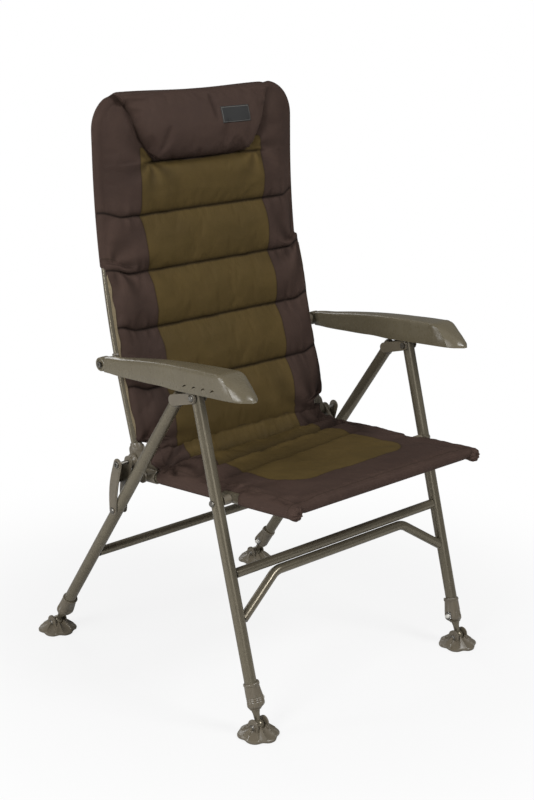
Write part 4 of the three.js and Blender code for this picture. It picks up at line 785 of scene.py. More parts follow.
for number, fold in enumerate(SEAT_FOLDS[1:-1]):
    away = np.abs(S - fold)
    wave = np.sin(2 * math.pi * SX / 27.0 + number * 2.1 + np.sin(SX / 41.0))
    fans += 0.7 * wave * np.exp(-away / 9.0) * (1.0 - np.exp(-away / 2.2))
fans *= smooth(3.0, 16.0, SINSET) * smooth(2.0, 14.0, S - SEAT_FROM) * (1.0 - over_socket * (S < 200.0))
# Painted shade: the seat's colour is darkened in the troughs of the folds, at the rear end of its curl, near the
# knuckles and on each side of the fold lines
SEAT_PAINTED_SHADE = most(0.8 * smooth(1.0, -3.0, fans), 0.9 * smooth(SEAT_TO - 12.0, SEAT_TO, S),
               0.55 * np.exp(-np.hypot(np.abs(SX) - 250.0, S - 175.0) / 55.0))
for fold, depth in zip(SEAT_FOLDS[1:4], (0.7, 1.0, 1.0)):
    below, above = np.clip(fold - S_FOLD, 0.0, None), np.clip(S_FOLD - fold, 0.0, None)
    line = np.where(S_FOLD < fold, np.exp(-below / 10.0), np.exp(-above / 27.0))
    SEAT_PAINTED_SHADE = most(SEAT_PAINTED_SHADE, depth * line * smooth(24.0, 70.0, SINSET))
seat_top = pushed(seat_top, seat_line, S, fans)
seat_cover = closed_cover("seat_cover", seat_top, seat_under, np.stack((SX, S), -1) / 1000.0,
                          {"olive": (SOLIVE, AWAY), "seam": (SSEAM, SSEAM), "hollow": (SEAT_PAINTED_SHADE, 0.0)})

# Headrest pillow

left_line = [p for p in PILLOW_LINE if p[0] < -131.0][::-1]
right_line = [p for p in PILLOW_LINE if p[0] > 118.0]
PV = np.array([0.0, 0.008, 0.03, 0.06, 0.1, *np.linspace(0.14, 0.9, 24), 0.93, 0.955, 0.975, 0.99, 1.0])
PU = np.concatenate((-np.cos(np.linspace(0, math.pi / 2, 9))[:-1] * 0.12 - 0.88,
                     np.linspace(-0.88, 0.88, 61), 0.88 + np.sin(np.linspace(0, math.pi / 2, 9))[1:] * 0.12))
V, U = np.meshgrid(PV, PU, indexing="ij")
low_d, high_d = 606.0, 749.6
PD = low_d + (high_d - low_d) * V
xl = np.interp(PD, [p[1] for p in left_line], [p[0] for p in left_line])
xr = np.interp(PD, [p[1] for p in right_line], [p[0] for p in right_line])
PX = (xl + xr) / 2 + (xr - xl) / 2 * U
# The lower edge dips in the middle and rises towards its rounded corners
PD = PD + (1.0 - V) ** 3 * (9.0 * np.abs(U) ** 9 + 1.2 * np.cos(U * 2.2 + 0.3))
gap = polyline_distance(PX, PD, PILLOW_LINE[1:-1])
side_rise = np.clip(1.0 - (1.0 - np.clip(gap / 36.0, 0.0, 1.0)) ** 3.4, 0.0, 1.0)
top_angle = np.clip((PD - HOOP_TOP) / TUNNEL, -1.0, 1.0)
over = np.where(PD > HOOP_TOP, np.sqrt(np.clip(1.0 - top_angle ** 2, 0.0, 1.0)), 1.0)
top_fall = 1.0 - 0.55 * smooth(665.0, 742.0, PD)
PN = (15.0 + 32.0 * side_rise * top_fall) * over ** 0.9
PN = np.maximum(PN, 12.6 * over)
crease = np.exp(-((PX - 18.0 + (PD - 700.0) * 0.12) / 5.0) ** 2)
crease = crease * smooth(676.0, 700.0, PD) * (1 - smooth(728.0, 742.0, PD))
tucks = fanned(PX, PD, near=3.0, far=18.0, ripple=24.0, centres=(
    (-134.0, 607.0, 1.2, 46.0, 7.0, 0.3), (124.0, 609.0, 1.2, 46.0, 7.0, 1.9),
    (-205.0, 722.0, 1.2, 60.0, 6.0, 1.1), (186.0, 716.0, 1.2, 52.0, 6.0, 0.5)))
tucks += 0.8 * np.sin(2 * math.pi * PX / 24.0 + np.sin(PX / 33.0)) * np.exp(-(PD - 606.0) / 12.0)
PN = PN - 4.4 * crease + tucks * smooth(0.0, 8.0, gap) * (1.0 - smooth(728.0, 744.0, PD))
pillow_front = lay(back_line, PX, PD, PN)
PPIN = ((V < 0.001) | (np.abs(U) > 0.999) | (PD > 744.0)).astype(float)
pillow_front = swollen(pillow_front, PPIN, scale=20.0, seed=5.0, uneven=0.0012, pressure=3.0, growth=0.012,
                       cap=6.0)
pillow_rear = lay(back_line, PX * 0.985, np.minimum(PD + 3.0 * (1.0 - V), 748.0), np.minimum(PN * 0.3, 10.0))
# The pillow's hollow field is painted shade in the gap round it and in its crease, and darkens the whole pillow a
# little
pillow = closed_cover("headrest", pillow_front, pillow_rear, np.stack((PX, PD), -1) / 1000.0,
                      {"olive": (AWAY, AWAY), "seam": (gap, gap + 20.0),
                       "hollow": (most(0.9 * np.exp(-gap / 6.0), 0.16 + 0.45 * crease), 0.0)})

# Fabric


def cover_fabric(name):
    """Two cloths in one: brushed olive in the middle, a finer brown weave at the sides and behind."""
    t = Tree(name)
    uv = t.coordinates("UV")
    at = t.coordinates("Object")
    parts = t.split(uv)
    olive_mm = t.attribute("olive")
    seam_mm = t.attribute("seam")
    is_olive = t.range(olive_mm, -0.7, 0.7)

    broad = t.noise(at, 7.0, 4.0, 0.55, 0.3)
    mottle = t.noise(at, 45.0, 4.0, 0.6)
    fuzz = t.noise(uv, 900.0, 3.0, 0.7)

    olive = t.mix(t.range(broad, 0.3, 0.7), rgb(78, 64, 36), rgb(90, 74, 42))
    olive = t.mix(t.range(mottle, 0.35, 0.7, 0.0, 0.35), olive, rgb(74, 62, 31))
    olive = t.mix(t.range(fuzz, 0.45, 0.8, 0.0, 0.3), olive, rgb(108, 91, 54))

    brown = t.mix(t.range(broad, 0.3, 0.7), rgb(65, 51, 45), rgb(72, 57, 50))
    brown = t.mix(t.range(mottle, 0.35, 0.7, 0.0, 0.3), brown, rgb(58, 45, 41))
    speck = t.noise(uv, 1500.0, 2.0, 0.7)
    brown = t.mix(t.range(speck, 0.5, 0.75, 0.0, 0.28), brown, rgb(85, 69, 62))

    colour = t.mix(is_olive, brown, olive)
    # Painted shade along the seams and along the join of the olive and the brown cloth
    join = t.range(t.math("ABSOLUTE", olive_mm), 0.4, 3.2, 0.55, 1.0)
    seam = t.range(seam_mm, 0.5, 3.0, 0.3, 1.0)
    shade = t.math("MULTIPLY", join, seam)
    dark = t.mix(1.0, colour, (0.25, 0.23, 0.2, 1.0), "MULTIPLY")
    colour = t.mix(shade, dark, colour)
    # Painted shade: the colour is darkened where the hollow field is high, in creases, folds, gaps and beside seams
    painted_shade_colour = t.mix(1.0, colour, (0.2, 0.18, 0.16, 1.0), "MULTIPLY")
    colour = t.mix(t.math("MULTIPLY", t.attribute("hollow"), 0.85), colour, painted_shade_colour)

    # sewing thread: dashes of 3.4 mm along each seam
    dash = t.math("SINE", t.math("MULTIPLY", parts[0], 2 * math.pi / 0.0034))
    thread_line = t.range(t.math("ABSOLUTE", t.math("SUBTRACT", seam_mm, 2.6)), 0.35, 0.7, 1.0, 0.0)
    thread = t.math("MULTIPLY", thread_line, t.range(dash, -0.2, 0.3))
    colour = t.mix(t.math("MULTIPLY", thread, 0.55), colour, rgb(48, 40, 30))

    # plain weave, coarser in the brown cloth
    u = t.math("MULTIPLY", parts[0], 2 * math.pi / 0.0011)
    v = t.math("MULTIPLY", parts[1], 2 * math.pi / 0.0011)
    weave = t.math("MULTIPLY", t.math("SINE", u), t.math("SINE", v))
    nap = t.noise(uv, 520.0, 4.0, 0.75)
    woven = t.math("ADD", t.math("MULTIPLY", weave, 0.5), 0.5)
    height = t.fed("ShaderNodeMix", {0: is_olive, 2: woven, 3: nap}, data_type="FLOAT").outputs[0]
    first = t.bump(height, 0.35, 0.0003)
    puckers = t.noise(t.scaled(uv, (75.0, 22.0, 1.0)), 1.0, 3.0, 0.5, 0.4)
    near = t.range(seam_mm, 1.0, 30.0, 1.0, 0.0)
    second = t.bump(t.math("MULTIPLY", puckers, near), 0.5, 0.004, first)
    third = t.bump(t.noise(at, 28.0, 3.0), 0.25, 0.002, second)
    fourth = t.bump(thread, 0.4, 0.0005, third)
    roughness = t.range(broad, 0.3, 0.7, 0.66, 0.8)
    return t.shader(colour, roughness, fourth, Specular_IOR_Level=0.1)


FABRIC = cover_fabric("cover_fabric")
for piece, fill in ((back_cover, 0.7), (seat_cover, 0.5), (pillow, 0.8)):
    soft(piece, FABRIC)
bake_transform(back_cover)
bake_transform(seat_cover)
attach(pillow, "back")
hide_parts("back_pad", "back_sleeve")
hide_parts("seat_pad", "seat_sleeve_left", "seat_sleeve_right")
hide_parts("headrest_pillow")

# The patch on the headrest: a bare woven label with a stitched border, on the pillow's own surface

PATCH = (32.0, 112.0, 676.0, 710.0)     # its sides across, then its lower and upper edge up the back


def patch_weave(name):
    t = Tree(name)
    uv = t.coordinates("UV")
    parts = t.split(uv)
    grain = t.noise(uv, 1400.0, 3.0, 0.7)
    threads = t.math("SINE", t.math("MULTIPLY", parts[1], 2 * math.pi / 0.0006))
    tone = t.mix(t.range(grain, 0.35, 0.7), rgb(17, 17, 17), rgb(29, 29, 28))
    edge_mm = t.attribute("edge")
    border = t.math("MULTIPLY", t.range(edge_mm, 1.5, 1.8), t.range(edge_mm, 2.3, 2.6, 1.0, 0.0))
    tone = t.mix(t.math("MULTIPLY", border, 0.7), tone, rgb(112, 111, 107))
    run = t.math("SINE", t.math("MULTIPLY", t.math("ADD", parts[0], parts[1]), 2 * math.pi / 0.0026))
    stitch_line = t.math("MULTIPLY", t.range(edge_mm, 0.4, 0.6), t.range(edge_mm, 0.9, 1.1, 1.0, 0.0))
    stitch = t.math("MULTIPLY", stitch_line, t.range(run, -0.2, 0.2))
    tone = t.mix(t.math("MULTIPLY", stitch, 0.6), tone, rgb(84, 80, 74))
    raised = t.math("ADD", t.math("MULTIPLY", threads, 0.3), t.math("ADD", border, stitch))
    return t.shader(tone, t.range(grain, 0.3, 0.7, 0.6, 0.8), t.bump(raised, 0.4, 0.0003))


def surface_hits(obj, xs, ds):
    """Where rays against the back's facing direction meet an object's finished surface."""
    tree = BVHTree.FromObject(obj, bpy.context.evaluated_depsgraph_get())
    _, facing = back_line(ds)
    start = lay(back_line, xs, ds, np.full_like(xs, 120.0))
    points, normals = np.zeros(xs.shape + (3,)), np.zeros(xs.shape + (3,))
    for index in np.ndindex(xs.shape):
        way = Vector((0.0, -facing[index][0], -facing[index][1]))
        points[index] = tree.ray_cast(Vector(start[index]), way, 0.2)[0]
        normals[index] = (0.0, facing[index][0], facing[index][1])
    return points, normals


TD, TX = np.meshgrid(np.linspace(PATCH[2], PATCH[3], 15), np.linspace(PATCH[0], PATCH[1], 31), indexing="ij")
on_cloth, outward = surface_hits(pillow, TX, TD)
border_gap = np.minimum(np.minimum(TX - PATCH[0], PATCH[1] - TX), np.minimum(TD - PATCH[2], PATCH[3] - TD))
lift = (0.9 + 0.5 * smooth(0.0, 2.4, border_gap))[..., None] / 1000.0
patch = closed_cover("label_patch", on_cloth + outward * lift, on_cloth - outward * 0.0008,
                     np.stack((TX, TD), -1) / 1000.0, {"edge": (border_gap, 9.0)})
soft(patch, patch_weave("label_weave"), False)
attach(patch, "back")


# Beige binding along the pad's sides, its free edge pulled into scallops by the lacing below it

def binding_cloth(name):
    t = Tree(name)
    uv = t.coordinates("UV")
    parts = t.split(uv)
    ribs = t.math("SINE", t.math("MULTIPLY", parts[1], 2 * math.pi / 0.0016))
    wear = t.noise(uv, 160.0, 4.0, 0.6)
    tone = t.mix(t.range(wear, 0.3, 0.7), rgb(96, 84, 62), rgb(122, 109, 83))
    tone = t.mix(t.range(ribs, -1.0, 1.0, 0.0, 0.25), tone, rgb(78, 68, 50))
    return t.shader(tone, t.range(wear, 0.3, 0.7, 0.75, 0.9), t.bump(ribs, 0.3, 0.0003))


BINDING = binding_cloth("binding_weave")
BINDING_FROM, BINDING_TO = 44.0, 376.0
OUTER = 0.3     # share of the tape's width that lies outside its fold
for hand, way in SIDES:
    BD, BQ = np.meshgrid(np.linspace(BINDING_FROM, BINDING_TO, 180), np.linspace(0.0, 1.0, 7), indexing="ij")
    scallop = 1.3 * np.sin(math.pi * BD / 27.0 + way) + 0.7 * np.sin(BD / 6.5 + 2.0 * way)
    inner = np.clip((BQ - OUTER) / (1.0 - OUTER), 0.0, 1.0)
    in_from = (1.5 + 1.5 * smooth(90.0, 260.0, BD) + 0.5 * scallop) * inner ** 1.4
    in_from = in_from + (4.0 + scallop) * np.clip((OUTER - BQ) / OUTER, 0.0, 1.0)
    rise = (38.5 - edge_level(BD)) * edge_rise(in_from, BD)
    BX = way * (cover_half(BD) + 1.3 - in_from + 0.5 * scallop * (1.0 - inner))
    BN = edge_level(BD) + np.where(BQ < OUTER, -2.6 + 2.6 * BQ / OUTER, rise)
    BD = BD + 13.0 * smooth(30.0, 90.0, BD) * (0.6 + 0.4 * inner)
    binding = closed_cover("edge_binding_" + hand, lay(back_line, BX, BD, BN),
                           lay(back_line, BX - way * 1.3, BD, BN - 0.3),
                           np.stack((BQ * 0.0125, BD / 1000.0), -1), {})
    soft(binding, BINDING)
    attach(binding, "back")


# Gathered cloth ends over the seat tubes' front ends

def tube_cap(hand, way):
    steps = 96
    turn = np.linspace(0.0, 2 * math.pi, steps, endpoint=False)
    pleats = np.sin(9.0 * turn + 0.7 * way) + 0.4 * np.sin(14.0 * turn + 1.9)
    forward = np.array((0.0, -math.cos(SEAT_PITCH), math.sin(SEAT_PITCH)))
    side, up = np.array((1.0, 0.0, 0.0)), np.array((0.0, math.sin(SEAT_PITCH), math.cos(SEAT_PITCH)))
    centre = np.array((way * SEAT_X, SEAT_FROM + 2.0, seat_z(SEAT_FROM)))
    rings, marks = [], []
    for radius, ahead, depth in ((10.4, -13.0, 0.0), (13.2, -12.0, 0.1), (14.0, -8.0, 0.35), (14.2, -3.0, 0.6),
                                 (13.7, 1.0, 0.9), (12.4, 4.2, 1.1), (10.2, 6.6, 1.1), (7.6, 7.9, 0.9),
                                 (5.2, 8.0, 0.6), (3.6, 7.0, 0.3), (2.4, 5.6, 0.1)):
        reach = radius + 0.55 * depth * pleats
        step_out = ahead + 0.45 * depth * pleats
        rings.append(centre + forward * step_out[:, None] + side * (reach * np.cos(turn))[:, None]
                     + up * (reach * np.sin(turn))[:, None])
        marks.append(np.stack((turn * 0.013, np.full(steps, ahead / 1000.0)), -1))
    rings, marks = np.array(rings), np.array(marks)
    flat = np.full(len(rings) * steps, AWAY)
    cap = cleaned(mesh_of("gathered_end_" + hand, places(rings), ring_faces(len(rings), steps), marks,
                          {"olive": flat, "seam": -flat}))
    soft(cap, FABRIC, False)
    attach(cap, "seat")
    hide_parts("seat_tube_plug_" + hand)


for hand, way in SIDES:
    tube_cap(hand, way)

# Mouldings and tubes

LEG_X = 307.0
TOP_PIVOT = np.array((0.0, 656.0))
ARM_PIVOT = np.array((289.0, 661.5))
FRONT_LEAN = math.radians(16.3)
REAR_LEAN = math.radians(33.9)
TUBE_RADIUS, RAIL_RADIUS = 12.5, 10.0
COLLAR_LENGTH = 54.0
# Each leg's line in the side plane: its start, its way, and how far along it its foot and its collar are
FRONT_WAY = np.array((-math.sin(FRONT_LEAN), -math.cos(FRONT_LEAN)))
REAR_WAY = np.array((math.sin(REAR_LEAN), -math.cos(REAR_LEAN)))
LINES = {"front": (TOP_PIVOT, FRONT_WAY, 661.6, 573.6), "rear": (np.array((46.0, 656.0)), REAR_WAY, 765.1, 677.1)}


def loft(name, rings):
    """A closed skin over rings of millimetre points (rings, points, 3)."""
    rings = np.asarray(rings, dtype=float)
    return cleaned(mesh_of(name, places(rings), ring_faces(*rings.shape[:2])), 0.00002, 0.00001)


def joined(name, pieces):
    """Several meshes as one object."""
    bm = bmesh.new()
    for piece in pieces:
        bm.from_mesh(piece.data)
    mesh = bpy.data.meshes.new(name)
    bm.to_mesh(mesh)
    bm.free()
    for piece in pieces:
        bpy.data.objects.remove(piece, do_unlink=True)
    obj = bpy.data.objects.new(name, mesh)
    SCENE.collection.objects.link(obj)
    return obj


def hard(obj, material, body, nodes=(), degrees=34.0, bevel=0.0):
    """Gives a hard piece its material, edges and body, and the nodes that it stands for.

    Edges sharper than degrees stay sharp, and bevel is their rounding in metres.
    """
    obj.data.materials.clear()
    obj.data.materials.append(material)
    crisp(obj, degrees, bevel)
    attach(obj, body)
    if nodes:
        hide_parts(*nodes)


def moulding(name, parts, body, node, bevel):
    """Several meshes as one nylon moulding."""
    hard(joined(name, parts), NYLON, body, [node], degrees=30.0, bevel=bevel)


def turned(name, start, end, profile, segments):
    """A turned form: (radius, distance) pairs about the line from start to end."""
    start, end = np.asarray(start, dtype=float), np.asarray(end, dtype=float)
    axis = (end - start) / np.linalg.norm(end - start)
    helper = np.array((1.0, 0.0, 0.0)) if abs(axis[0]) < 0.9 else np.array((0.0, 0.0, 1.0))
    u = np.cross(axis, helper)
    u /= np.linalg.norm(u)
    v = np.cross(axis, u)
    turn = np.linspace(0, 2 * math.pi, segments, endpoint=False)
    around = np.cos(turn)[:, None] * u + np.sin(turn)[:, None] * v
    rings = [start + axis * along + around * max(radius, 0.01) for radius, along in profile]
    return loft(name, rings)


def swept(name, path, radius, sides):
    """A round tube along millimetre points, with even rings."""
    path = np.asarray(path, dtype=float)
    tangent = np.gradient(path, axis=0)
    tangent /= np.linalg.norm(tangent, axis=1, keepdims=True)
    side = np.cross(tangent[0], (0.3, 0.9, 0.1))
    rings = []
    turn = np.linspace(0, 2 * math.pi, sides, endpoint=False)
    for point, way in zip(path, tangent):
        side = side - way * side.dot(way)
        side /= np.linalg.norm(side)
        other = np.cross(way, side)
        rings.append(point + radius * (np.cos(turn)[:, None] * side + np.sin(turn)[:, None] * other))
    return loft(name, rings)


def disc(name, x, centre, way, profile, segments):
    """A turned form about a line across the chair, from x towards way."""
    return turned(name, (x, centre[0], centre[1]), (x + way, centre[0], centre[1]), profile, segments)


def leg_point(end, distance, x=0.0):
    """A place on a leg's line."""
    origin, way = LINES[end][:2]
    point = origin + way * distance
    return np.array((x, point[0], point[1]))


def prism(name, outline, x0, x1):
    """A side plane outline (y, z) between two planes across the chair."""
    ring = np.array([(x0, y, z) for y, z in outline])
    far = ring.copy()
    far[:, 0] = x1
    return loft(name, [ring, far])


def belt(a, ra, b, rb, steps):
    """Outline round two circles in the side plane."""
    a, b = np.asarray(a, dtype=float), np.asarray(b, dtype=float)
    heading = math.atan2(b[1] - a[1], b[0] - a[0])
    gap = np.linalg.norm(b - a)
    tilt = math.acos(max(-1.0, min(1.0, (ra - rb) / gap)))
    points = []
    for k in range(steps + 1):
        turn = heading + tilt + (2 * math.pi - 2 * tilt) * k / steps
        points.append(a + ra * np.array((math.cos(turn), math.sin(turn))))
    for k in range(steps + 1):
        turn = heading - tilt + 2 * tilt * k / steps
        points.append(b + rb * np.array((math.cos(turn), math.sin(turn))))
    return points


def socket_screw(name, centre, way, radius, height, socket):
    """A button head screw with a hexagon socket, its head pointing along way across the chair."""
    centre = np.asarray(centre, dtype=float)
    head = [(0.0, 0.0), (radius, 0.0), (radius, height * 0.45), (radius * 0.86, height * 0.82),
            (radius * 0.62, height), (socket * 1.1, height)]
    steps = 48
    turn = np.linspace(0, 2 * math.pi, steps, endpoint=False)
    rings = [np.stack((np.full(steps, a * way), r * np.cos(turn), r * np.sin(turn)), -1) for r, a in head[1:]]
    hexed = socket * math.cos(math.pi / 6) / np.cos((turn % (math.pi / 3)) - math.pi / 6)
    for depth in (height, height * 0.35):
        rings.append(np.stack((np.full(steps, depth * way), hexed * np.cos(turn), hexed * np.sin(turn)), -1))
    return loft(name, np.array(rings) + centre)


# Armrests: a moulded arch with flat flanks, an open channel with the rack below and a bevelled nose

ARM_REACH, ARM_RISE = 461.5, 62.5
# Place along the armrest as a share of its reach, its lower and its upper line as shares of its rise
ARM_SHARES = [(-0.029, -0.03, 0.06), (0.0, -0.215, 0.235), (0.03, -0.222, 0.27), (0.054, -0.208, 0.304),
              (0.13, -0.184, 0.384), (0.238, -0.12, 0.528), (0.357, -0.048, 0.672), (0.444, 0.016, 0.76),
              (0.531, 0.04, 0.832), (0.628, 0.104, 0.896), (0.747, 0.192, 0.968), (0.843, 0.256, 1.0),
              (0.92, 0.30, 0.99), (1.0, 0.37, 0.96)]


def eased(x, xs, ys):
    """Smooth curve through table points without overshoot."""
    xs, ys = np.asarray(xs), np.asarray(ys)
    slope = np.gradient(ys, xs)
    x = np.clip(x, xs[0], xs[-1])
    i = np.clip(np.searchsorted(xs, x) - 1, 0, len(xs) - 2)
    h = xs[i + 1] - xs[i]
    t = (x - xs[i]) / h
    return ((2 * t ** 3 - 3 * t ** 2 + 1) * ys[i] + (t ** 3 - 2 * t ** 2 + t) * h * slope[i]
            + (3 * t ** 2 - 2 * t ** 3) * ys[i + 1] + (t ** 3 - t ** 2) * h * slope[i + 1])


def arm_section(half, low, high, channel_depth):
    """Closed section of the armrest as (across, up): the outside, then the channel below."""
    corner = min(7.0, half * 0.42, (high - low) * 0.4)
    outer = [(half - 1.6, low), (half - 0.5, low + 0.4), (half, low + 1.6),
             (half + 0.35, low + (high - low) * 0.4), (half - 0.15, high - corner - 3.0)]
    for a in (0, 18, 36, 54, 72, 90):
        outer.append((half - 0.2 - corner + corner * math.cos(math.radians(a)),
                      high - corner + corner * math.sin(math.radians(a))))
    outer += [(half * 0.45, high + 0.7), (half * 0.15, high + 1.0)]
    wall = max(half - 4.2, half * 0.3)
    roof = low + channel_depth
    inner = [(wall * 0.2, roof), (wall - 2.5, roof), (wall, max(roof - 2.5, low)), (wall, low),
             (wall + 1.0, low)]

    def mirrored(points):
        return [(-a, u) for a, u in reversed(points)]

    return outer + mirrored(outer) + mirrored(inner) + inner


ARM_FORWARD, ARM_LOW, ARM_HIGH = zip(*ARM_SHARES)
NOSE_FROM, NOSE_TO = 0.80, 0.93
RACK_AT, NOTCH_STEP, NOTCHES = 289.0, 28.0, 5


def arm_level(share, table):
    """Height of the armrest's lower or upper line over its pivot."""
    return float(eased(share, ARM_FORWARD, table)) * ARM_RISE


def arm_ring(share, width=1.0):
    low, high = arm_level(share, ARM_LOW), arm_level(share, ARM_HIGH)
    grow = float(np.clip((share - 0.0325) / (0.843 - 0.0325), 0.0, 1.0))
    half = (22.0 + (60.0 - 22.0) * grow ** 0.9) / 2 * width
    depth = (high - low - 4.0) * float(smooth(0.19, 0.215, share) * (1.0 - smooth(0.90, 0.93, share)))
    return np.array(arm_section(half, low, high, depth))


def arm_nose(across, up, low, high, half):
    """How far forward the bevelled face of the nose is, bowed across."""
    fall = np.clip((high - up) / (high - low), 0.0, 1.0)
    bow = (np.abs(across) / half) ** 2.2
    reach = 0.836 * ARM_REACH + (72.0 * fall ** 0.86) * (1.0 - 0.10 * fall ** 3)
    return reach - bow * (5.0 + 24.0 * fall)


def armrest_piece(hand, way):
    """The arch with its nose, the slits, the eye at the rear and the rack."""
    x = way * LEG_X
    rings = []

    def put_ring(across, forward, up):
        rings.append(np.stack((x + across, ARM_PIVOT[0] - forward, ARM_PIVOT[1] + up), -1))

    for share in np.linspace(0.028, NOSE_FROM, 46):
        pts = arm_ring(share)
        put_ring(pts[:, 0], np.full(len(pts), share * ARM_REACH), pts[:, 1])
    # the sections run on to the nose's face and close over it
    for v in (0.12, 0.25, 0.4, 0.55, 0.7, 0.82, 0.91, 0.96, 1.0):
        pts = arm_ring(NOSE_FROM + (NOSE_TO - NOSE_FROM) * v, 1.0 - 0.05 * smooth(0.5, 1.0, v))
        low, high, half = pts[:, 1].min(), pts[:, 1].max(), np.abs(pts[:, 0]).max()
        start = NOSE_FROM * ARM_REACH
        put_ring(pts[:, 0], start + (arm_nose(pts[:, 0], pts[:, 1], low, high, half) - start) * v, pts[:, 1])
    centre_up = (low + high) / 2
    for s in (0.94, 0.84, 0.7, 0.52, 0.33, 0.15):
        across = pts[:, 0] * s
        up = centre_up + (pts[:, 1] - centre_up) * s
        put_ring(across, arm_nose(across, up, low, high, half) + 1.6 * (1.0 - s ** 2), up)
    body = loft("arm_body", rings)

    # the four slits in the outer flank
    cutters = []
    for k in range(NOTCHES - 1):
        forward = RACK_AT - NOTCH_STEP * 0.35 + NOTCH_STEP * k
        low = arm_level(forward / ARM_REACH, ARM_LOW)
        y, z = ARM_PIVOT[0] - forward, ARM_PIVOT[1] + low + 14.0
        shape = [(y + 6.6, z - 4.2), (y + 0.6, z - 0.7), (y - 4.8, z + 0.8), (y - 5.4, z + 2.3),
                 (y - 1.6, z + 2.9), (y + 3.0, z + 0.6)]
        cutters.append(prism("slit", shape, x + way * 21.0, x + way * 40.0))
    cutter = joined("slit_cutter", cutters)
    hole = body.modifiers.new("slits", "BOOLEAN")
    hole.operation = "DIFFERENCE"
    hole.solver = "EXACT"
    hole.object = cutter
    cut = bpy.data.meshes.new_from_object(body.evaluated_get(bpy.context.evaluated_depsgraph_get()))
    body.modifiers.clear()
    body.data = cut
    bpy.data.objects.remove(cutter, do_unlink=True)

    # the round eye at the rear, stepped in beside the arm, and its sunk screw seat
    eye = disc("arm_eye", x - 11.0 * way, ARM_PIVOT, way,
               [(0.0, 0.0), (12.8, 0.0), (13.8, 0.4), (14.5, 1.6), (14.8, 4.0), (14.8, 18.0), (14.5, 20.4),
                (13.8, 21.6), (12.6, 22.0), (10.6, 22.0), (10.2, 21.5), (9.9, 19.6), (0.0, 19.4)], 56)
    # the rack that hangs in the channel
    roof, teeth = [], []
    rack_low = TOP_PIVOT[1] + 17.0 - ARM_PIVOT[1]
    for forward in np.linspace(RACK_AT - 12.6, RACK_AT + 103.0, 80):
        share = forward / ARM_REACH
        high = arm_level(share, ARM_HIGH) - 3.0 - 0.8 * max(forward - 372.0, 0.0)
        low = arm_level(share, ARM_LOW) - arm_level(RACK_AT / ARM_REACH, ARM_LOW) + rack_low
        gap = min(abs(forward - RACK_AT - NOTCH_STEP * k) for k in range(NOTCHES))
        notch = math.sqrt(81.0 - gap ** 2) - 1.0 if gap < 8.9 else 0.0
        roof.append((ARM_PIVOT[0] - forward, ARM_PIVOT[1] + high))
        teeth.append((ARM_PIVOT[0] - forward, ARM_PIVOT[1] + low + notch))
    rack = prism("rack", teeth + roof[::-1], x - 9.0, x + 9.0)
    hard(joined("armrest_shell_" + hand, [body, eye, rack]), ARM_NYLON, "armrest_" + hand, ["armrest_" + hand],
         degrees=30.0, bevel=0.0008)


for hand, way in SIDES:
    armrest_piece(hand, way)


# Mud feet: lobed cones with raised facets, two ears and the screw that holds the ball

def foot_piece(end, hand, way):
    pivot = leg_point(end, LINES[end][2], way * LEG_X)
    lobes = 6
    turn = np.linspace(0, 2 * math.pi, 180, endpoint=False)
    beside = np.abs((turn * lobes / (2 * math.pi) + 0.5) % 1.0 - 0.5) * 2 * math.pi / lobes
    ridge = 1.0 - smooth(0.0, math.pi / lobes, beside)
    rim = 42.0 - 3.6 * ridge ** 1.3
    rings = []

    def put_ring(radius, height):
        rings.append(np.stack((radius * np.cos(turn), radius * np.sin(turn), height + 0.0 * turn), -1))

    for q in np.concatenate((np.linspace(0.0, 0.93, 26), (0.965, 0.985))):
        radius = 12.6 + (rim - 12.6) * q
        cone = 19.5 + (6.0 - 19.5) * (0.62 * q + 0.38 * q ** 1.8)
        half = 1.3 + 7.6 * q ** 1.25
        across = radius * np.sin(np.minimum(beside, math.pi / 2))
        facet = 1.0 - smooth(half - 0.3, half + 0.6, across)
        width = np.maximum(radius * math.sin(math.pi / lobes) - half, 1.0)
        hollow = np.clip((across - half) / width, 0.0, 1.0)
        tall = 1.5 + 6.6 * (1.0 - q) ** 1.15
        slope = (1.0 - hollow) ** 2.0 * 0.35 * (1.0 - facet)
        sag = 2.0 * np.sin(hollow * math.pi / 2) * math.sin(math.pi * min(q, 1.0)) ** 0.8
        rise = tall * (facet + slope) * smooth(-0.02, 0.1, q)
        put_ring(radius, cone + rise - sag - 0.9 * smooth(0.93, 1.0, q))
    for grow, height in ((0.35, 5.0), (0.8, 3.8), (0.7, 2.2), (0.2, 0.9), (-1.2, 0.0)):
        put_ring(rim + grow, height + 1.5 * ridge ** 2)
    for radius, height in ((33.0, 0.6), (31.0, 2.4), (6.0, 2.6)):
        put_ring(radius, height)
    parts = [loft("foot_cone", np.array(rings) + np.array((pivot[0], pivot[1], 0.0)))]
    for side_way in (-1.0, 1.0):
        inner, outer = pivot[0] + side_way * 12.8, pivot[0] + side_way * 16.2
        shape = belt((pivot[1], 15.0), 15.4, (pivot[1], pivot[2] + 4.0), 13.0, 26)
        parts.append(prism("foot_ear", shape, inner, outer))
        parts.append(disc("foot_ring", outer - side_way * 0.6, pivot[1:], side_way,
                          [(0.0, 0.0), (8.6, 0.0), (8.4, 1.6), (7.6, 2.3), (6.5, 2.3), (6.2, 1.3), (0.0, 1.3)], 40))
    parts.append(turned("foot_cup", (pivot[0], pivot[1], 13.0), (pivot[0], pivot[1], 20.0),
                        [(0.0, 0.0), (12.8, 0.0), (12.8, 5.4), (12.2, 6.8), (10.6, 5.6), (6.0, 1.8),
                         (0.0, 0.6)], 48))
    node = f"{end}_foot_{hand}"
    moulding(f"mud_foot_{end}_{hand}", parts, node, node, bevel=0.0004)
    screws = [socket_screw("foot_screw", (pivot[0] + s * 16.4, pivot[1], pivot[2]), s, radius=5.6, height=3.0,
                           socket=2.9)
              for s in (-1.0, 1.0)]
    hard(joined(f"foot_screws_{end}_{hand}", screws), STEEL, node)


# Inner legs with neck and ball, collars with ribs and the window of the lock's coil

